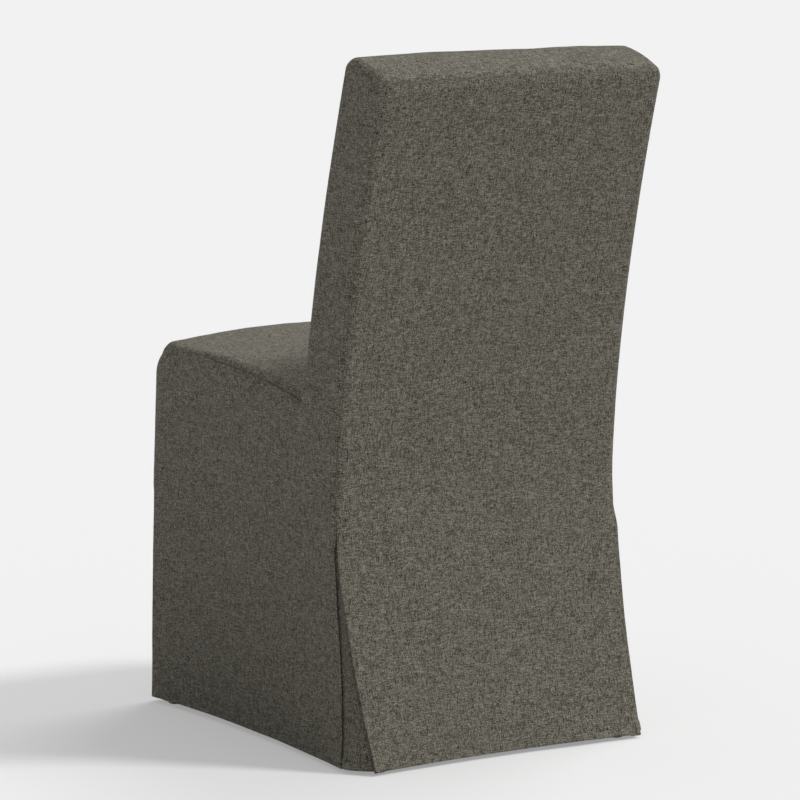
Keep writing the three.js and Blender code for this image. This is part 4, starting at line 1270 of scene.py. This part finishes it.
def linen():
    """A plain weave of heathered yarns: each yarn changes tone along its length, over soft clouds."""
    cloth = Finish("heathered linen weave")
    place = cloth.threads()
    mirrored = cloth.scaled(place, (1.0, -1.0, 1.0))
    u, v, _ = cloth.split(place)
    across = u * (1 / WARP_PITCH) + (cloth.noise(place, 30.0, 1.0) - 0.5) * YARN_WANDER
    up = v * (1 / WEFT_PITCH) + (cloth.noise(mirrored, 30.0, 1.0) - 0.5) * YARN_WANDER
    column, row = across.math("FLOOR"), up.math("FLOOR")
    in_column, in_row = across.math("FRACT") - 0.5, up.math("FRACT") - 0.5
    parity = (column + row).math("MODULO", 2.0).math("ABSOLUTE") * 2.0 - 1.0
    round_column = 1.0 - (in_column * 2.0).math("POWER", 2.0)
    round_row = 1.0 - (in_row * 2.0).math("POWER", 2.0)
    warp = round_column * (0.5 + 0.5 * parity * (in_row * math.pi).math("COSINE"))
    weft = round_row * (0.5 - 0.5 * parity * (in_column * math.pi).math("COSINE"))
    warp_shows = (warp - weft).clear_of(-0.1, 0.1)
    warp_tone = cloth.yarn_noise(column * 7.31, v * 110.0, 1.0) - 0.5
    weft_tone = cloth.yarn_noise(u * 80.0, row * 9.13, 1.0) - 0.5
    crossing = cloth.node("ShaderNodeTexWhiteNoise", {"noise_dimensions": "2D"}, cloth.joined(column, row))
    clouds = cloth.noise(place, 45.0, 2.0, 0.6, "2D") - 0.5
    fibres = cloth.noise(place, 2400.0, 1.0, 0.6, "2D") - 0.5
    slub = cloth.yarn_noise(u * 90.0, row * 3.71).clear_of(0.66, 0.74)
    streak = cloth.yarn_noise(column * 5.17, v * 90.0).clear_of(0.66, 0.74)
    fleck = cloth.yarn_noise(u * 200.0, row * 2.11).clear_of(0.78, 0.84)
    yarns = warp_tone * warp_shows * 2.6 + weft_tone * (1.0 - warp_shows) * 3.6 + slub * 0.5 - streak * 0.7
    tone = yarns + (crossing["Value"] - 0.5) * 2.0 + clouds * 0.2 + fibres + (warp_shows - 0.5) * 0.3
    shade = (tone * LINEN_CONTRAST + LINEN_LEVEL).math("MAXIMUM", LINEN_DARKEST).math("POWER", LINEN_GAMMA)
    colour = cloth.node("ShaderNodeVectorMath", {"operation": "SCALE"}, LINEN, Scale=shade)["Vector"]
    colour = cloth.blend(colour, LINEN_SLUB, slub * 0.4)
    colour = cloth.blend(colour, LINEN_FLECK, fleck * 0.2)
    cloth.set(Specular_IOR_Level=0.18, Sheen_Weight=0.06, Sheen_Roughness=0.5, Sheen_Tint=(0.62, 0.60, 0.55))
    return cloth.made(colour, 0.92, warp.math("MAXIMUM", weft) + (tone + 1.0) * 0.12, 0.00020)


def wooden(name, grain):
    """Planed, unfinished timber, with its grain along an axis."""
    wood = Finish(name)
    stretch = np.where(np.arange(3) == grain, 1.6, 26.0)

    def stretched(times):
        return wood.scaled(wood.where(), tuple((times * stretch).tolist()))

    place = stretched(1)
    settings = {"wave_type": "RINGS", "rings_direction": "XYZ"[grain]}
    sockets = {"Vector": place, "Scale": 1.1, "Distortion": 5.0, "Detail": 2.0, "Detail_Scale": 0.8}
    rings = wood.node("ShaderNodeTexWave", settings, **sockets)["Fac"]
    fine = wood.noise(stretched(9), 3.2, 3.0, 0.7)
    tone = rings * 0.45 + fine * 0.4 + wood.noise(place, 0.9, 2.0) * 0.24
    colour = wood.blend((0.44, 0.275, 0.135), (0.66, 0.475, 0.285), tone.clear_of(0.15, 0.85))
    open_pores = wood.noise(stretched(22), 1.8, 1.0).clear_of(0.64, 0.72)
    colour = wood.blend(colour, (0.27, 0.155, 0.075), open_pores * 0.7)
    relief = fine * 0.5 - open_pores * 0.5 + rings * 0.2
    return wood.made(colour, 0.52 + fine * 0.22, relief, 0.00012)


def hardboard():
    board = Finish("pressed board")
    place = board.where()
    fibres = board.noise(place, 420.0, 4.0, 0.75)
    tone = fibres * 0.6 + board.noise(place, 30.0, 3.0, 0.6) * 0.4
    colour = board.blend((0.17, 0.092, 0.042), (0.34, 0.20, 0.10), tone.clear_of(0.3, 0.7))
    return board.made(colour, 0.5 + fibres * 0.25, fibres, 0.0001)


def foam():
    """Cut open-cell foam, with painted shade in the hollows of its cells."""
    cut = Finish("open-cell foam")
    place = cut.where()
    walls = cut.node("ShaderNodeTexVoronoi", {"feature": "DISTANCE_TO_EDGE"}, Vector=place, Scale=620.0)
    cell_hollows = walls["Distance"].clear_of(0.02, 0.3)
    yellowing = cut.noise(place, 9.0, 3.0)
    colour = cut.blend((0.83, 0.78, 0.62), (0.74, 0.64, 0.42), yellowing.clear_of(0.35, 0.75))
    # The hollows of the cells are painted darker here: painted shade in the pores.
    colour = cut.blend(colour, (0.58, 0.50, 0.34), cell_hollows * 0.45)
    return cut.made(colour, 0.95, 1.0 - cell_hollows, 0.0006)


def wadding():
    """Loose white fibre sheet."""
    fibre = Finish("fibre wadding")
    place = fibre.where()
    strands = fibre.noise(place, 340.0, 4.0, 0.75, distortion=1.6)
    tufts = fibre.noise(place, 60.0, 3.0, 0.6)
    tone = strands * 0.6 + tufts * 0.4
    colour = fibre.blend((0.78, 0.77, 0.72), (0.93, 0.93, 0.90), tone.clear_of(0.3, 0.7))
    return fibre.made(colour, 0.96, strands + tufts, 0.0009)


TWILL_PITCH = 0.0031
CORD_PITCH = 0.0016
STRIPE_PLACE = 0.0225
STRIPE_HALF = 0.0016


def webbing():
    """Twill-woven strap with a dark stripe near each selvage."""
    strap = Finish("woven strap")
    u, v, _ = strap.split(strap.threads())
    u = u - (u - OTHER_FACE / 2).clear_of(-0.01, 0.01) * OTHER_FACE
    twill = ((u + v) * (2 * math.pi / TWILL_PITCH)).math("SINE") * 0.5 + 0.5
    cords = (u * (2 * math.pi / CORD_PITCH)).math("SINE") * 0.5 + 0.5
    fibres = strap.yarn_noise(u * 900.0, v * 260.0, 3.0, 0.7)
    from_stripe = (u.math("ABSOLUTE") - STRIPE_PLACE).math("ABSOLUTE")
    stripe = (STRIPE_HALF - from_stripe).clear_of(-0.0002, 0.0002)
    tone = twill * 0.45 + cords * 0.2 + fibres * 0.35
    colour = strap.blend((0.17, 0.125, 0.075), (0.36, 0.285, 0.185), tone.clear_of(0.1, 0.9))
    colour = strap.blend(colour, (0.055, 0.042, 0.035), stripe * 0.9)
    return strap.made(colour, 0.86, twill * 0.6 + cords * 0.4 + fibres * 0.2, 0.0004)


def black_cloth():
    """Spun dust cloth with its pressed dots."""
    spun = Finish("black dust cloth")
    place = spun.where()
    sockets = {"Vector": place, "Scale": 480.0, "Randomness": 0.15}
    dots = spun.node("ShaderNodeTexVoronoi", {"feature": "F1"}, **sockets)["Distance"]
    pressed = 1.0 - dots.clear_of(0.18, 0.34)
    fibres = spun.noise(place, 700.0, 3.0, 0.7, distortion=1.0)
    colour = spun.blend((0.008, 0.008, 0.009), (0.030, 0.030, 0.032), fibres.clear_of(0.35, 0.75))
    return spun.made(colour, 0.9 - pressed * 0.3, fibres * 0.5 - pressed, 0.00015)


def nylon():
    """Moulded nylon, scuffed where it slides."""
    glide = Finish("moulded nylon")
    place = glide.where()
    grain = glide.noise(place, 2400.0, 2.0, 0.6)
    _, _, height = glide.split(place)
    scuff = glide.noise(glide.scaled(place, (400.0, 90.0, 400.0)), 1.0, 3.0, 0.7).clear_of(0.5, 0.7)
    worn = scuff * (1.0 - height.clear_of(0.0002, 0.0012))
    colour = glide.blend((0.020, 0.020, 0.022), (0.075, 0.074, 0.072), worn)
    return glide.made(colour, 0.42 + grain * 0.12 + worn * 0.25, grain, 0.00004)


def thread():
    spun = Finish("sewing thread")
    twist = spun.noise(spun.where(), 3000.0, 2.0, 0.6)
    return spun.made(spun.blend((0.10, 0.094, 0.075), (0.23, 0.215, 0.175), twist.clear_of(0.3, 0.7)), 0.8)


def give(piece, material):
    piece.data.materials.clear()
    piece.data.materials.append(material)


def placed(piece, material, slot, node=None):
    """Hands a piece over: its material, the root body that it joins and the CAD's node that it takes the
    place of, which is hidden. The slot is not used.
    """
    give(piece, material)
    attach(piece, "root")
    if node:
        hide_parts(node)
    return piece


# Camera, as fitted to the photo
EYE = Vector((3.4397, 5.2976, 1.3816))
AHEAD = Vector((-0.53897, -0.82997, -0.14377))
LENS = 202.5
SENSOR = 36
VIEW_END = 400
camera = linked("camera", bpy.data.cameras.new("camera"))
camera.location = EYE
camera.rotation_euler = AHEAD.to_track_quat("-Z", "Y").to_euler()
camera.data.lens = LENS
camera.data.sensor_width = SENSOR
camera.data.clip_end = VIEW_END
bpy.context.scene.camera = camera

# Light
KEY_TOWARDS = Vector((-0.518, 0.407, 0.752))
KEY_STRENGTH = 2.1
KEY_WIDTH = math.radians(11)
RIM_TOWARDS = Vector((-0.554, -0.231, 0.800))
RIM_STRENGTH = 1.15
RIM_WIDTH = math.radians(30)
SKY_STRENGTH = 0.46
FLOOR_SIZE = 160
FLOOR_COLOUR = 0.706
BACKDROP_SHARE = 0.352
BACKDROP_LEVEL = 0.885

for name, towards, strength, width in (
    ("key_light", KEY_TOWARDS, KEY_STRENGTH, KEY_WIDTH),
    ("rim_light", RIM_TOWARDS, RIM_STRENGTH, RIM_WIDTH),
):
    light = linked(name, bpy.data.lights.new(name, "SUN"))
    light.data.energy = strength
    light.data.angle = width
    light.rotation_euler = towards.to_track_quat("Z", "Y").to_euler()

world = bpy.data.worlds.new("studio")
bpy.context.scene.world = world
world.use_nodes = True
sky = world.node_tree.nodes["Background"]
sky.inputs["Color"].default_value = (1, 1, 1, 1)
sky.inputs["Strength"].default_value = SKY_STRENGTH

bpy.ops.object.select_all(action="DESELECT")
bpy.ops.mesh.primitive_grid_add(x_subdivisions=4, y_subdivisions=4, size=FLOOR_SIZE, location=(0, 0, 0))
floor = bpy.context.object
floor.name = "studio_floor"
paper = Finish("pale studio floor")
paper.set(Base_Color=(FLOOR_COLOUR, FLOOR_COLOUR, FLOOR_COLOUR), Roughness=1.0, Specular_IOR_Level=0.0)
rays = paper.node("ShaderNodeLightPath")
mirrored = rays["Is Glossy Ray"].math("MAXIMUM", rays["Is Transmission Ray"])
seen = rays["Is Camera Ray"].math("MAXIMUM", mirrored)
glow = paper.tree.nodes.new("ShaderNodeEmission")
glow.inputs["Color"].default_value = (1, 1, 1, 1)
glow.inputs["Strength"].default_value = BACKDROP_LEVEL
mixer = paper.tree.nodes.new("ShaderNodeMixShader")
paper.feed(mixer.inputs["Fac"], seen * BACKDROP_SHARE)
paper.tree.links.new(paper.shader.outputs["BSDF"], mixer.inputs[1])
paper.tree.links.new(glow.outputs["Emission"], mixer.inputs[2])
paper.tree.links.new(mixer.outputs["Shader"], paper.tree.nodes["Material Output"].inputs["Surface"])
give(floor, paper.material)

# Cover
linen_cloth = linen()
seam_thread = thread()


def cover(piece, node):
    placed(piece, linen_cloth, "linen_cover", node)


cover(outside_back(), "outside_back_cover")
cover(inside_back(), "inside_back_cover")
cover(top_boxing(), "top_boxing_cover")
cover(seat_top_panel(), "seat_top_cover")
cover(front_panel(), "front_cover")
for side, hand in ((1, "left"), (-1, "right")):
    flank = side_panel(side, f"side_panel_{hand}")
    cover(flank, f"side_cover_{hand}")
    fold = rear_fold(side, f"rear_pleat_fold_{hand}")
    cover(fold, f"pleat_underlay_rear_{hand}")
    fold = front_fold(side, f"front_pleat_fold_{hand}")
    cover(fold, f"pleat_underlay_front_{hand}")
    placed(seat_stitches(side, f"seat_seam_stitches_{hand}"), seam_thread, "linen_cover")

# Inner soft pieces
foam_finish, wadding_finish, strap_finish = foam(), wadding(), webbing()
for node in ("seat_foam", "back_foam"):
    pad = placed(foam_piece(node, node + "_pad"), foam_finish, "foam", node)
WADDING_STEPS = {
    "rear_padding": (0.014, None, 0.014),
    "top_padding": (0.014, 0.008, None),
    "front_padding": (0.010, None, 0.010),
    "rail_padding_left": (None, 0.010, 0.010),
    "rail_padding_right": (None, 0.010, 0.010),
    "post_padding_left": (None, 0.010, 0.010),
    "post_padding_right": (None, 0.010, 0.010),
}
for node, steps in WADDING_STEPS.items():
    pad = wadding_piece(node, node.replace("padding", "wadding"), steps)
    placed(pad, wadding_finish, "wadding", node)
for node, strap, length in seat_straps() + back_straps():
    placed(strap, strap_finish, "webbing", node)
dust = placed(dust_cloth(), black_cloth(), "black_cloth", "dust_cover")

# Frame: each wooden part's grain runs along its length
GRAINS = {"leg": 2, "post": 2, "side_rail": 1, "rail": 0, "brace": 0}
woods = [wooden(f"hardwood grain along {axis}", k) for k, axis in enumerate("xyz")]
board_finish, glide_finish = hardboard(), nylon()
for name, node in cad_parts.items():
    grain = next((axis for part, axis in GRAINS.items() if part in name), None)
    if "glide" in name:
        give(node, glide_finish)
    elif name == "outer_back_board":
        give(node, board_finish)
    elif grain is not None and "strap" not in name and "padding" not in name:
        give(node, woods[grain])
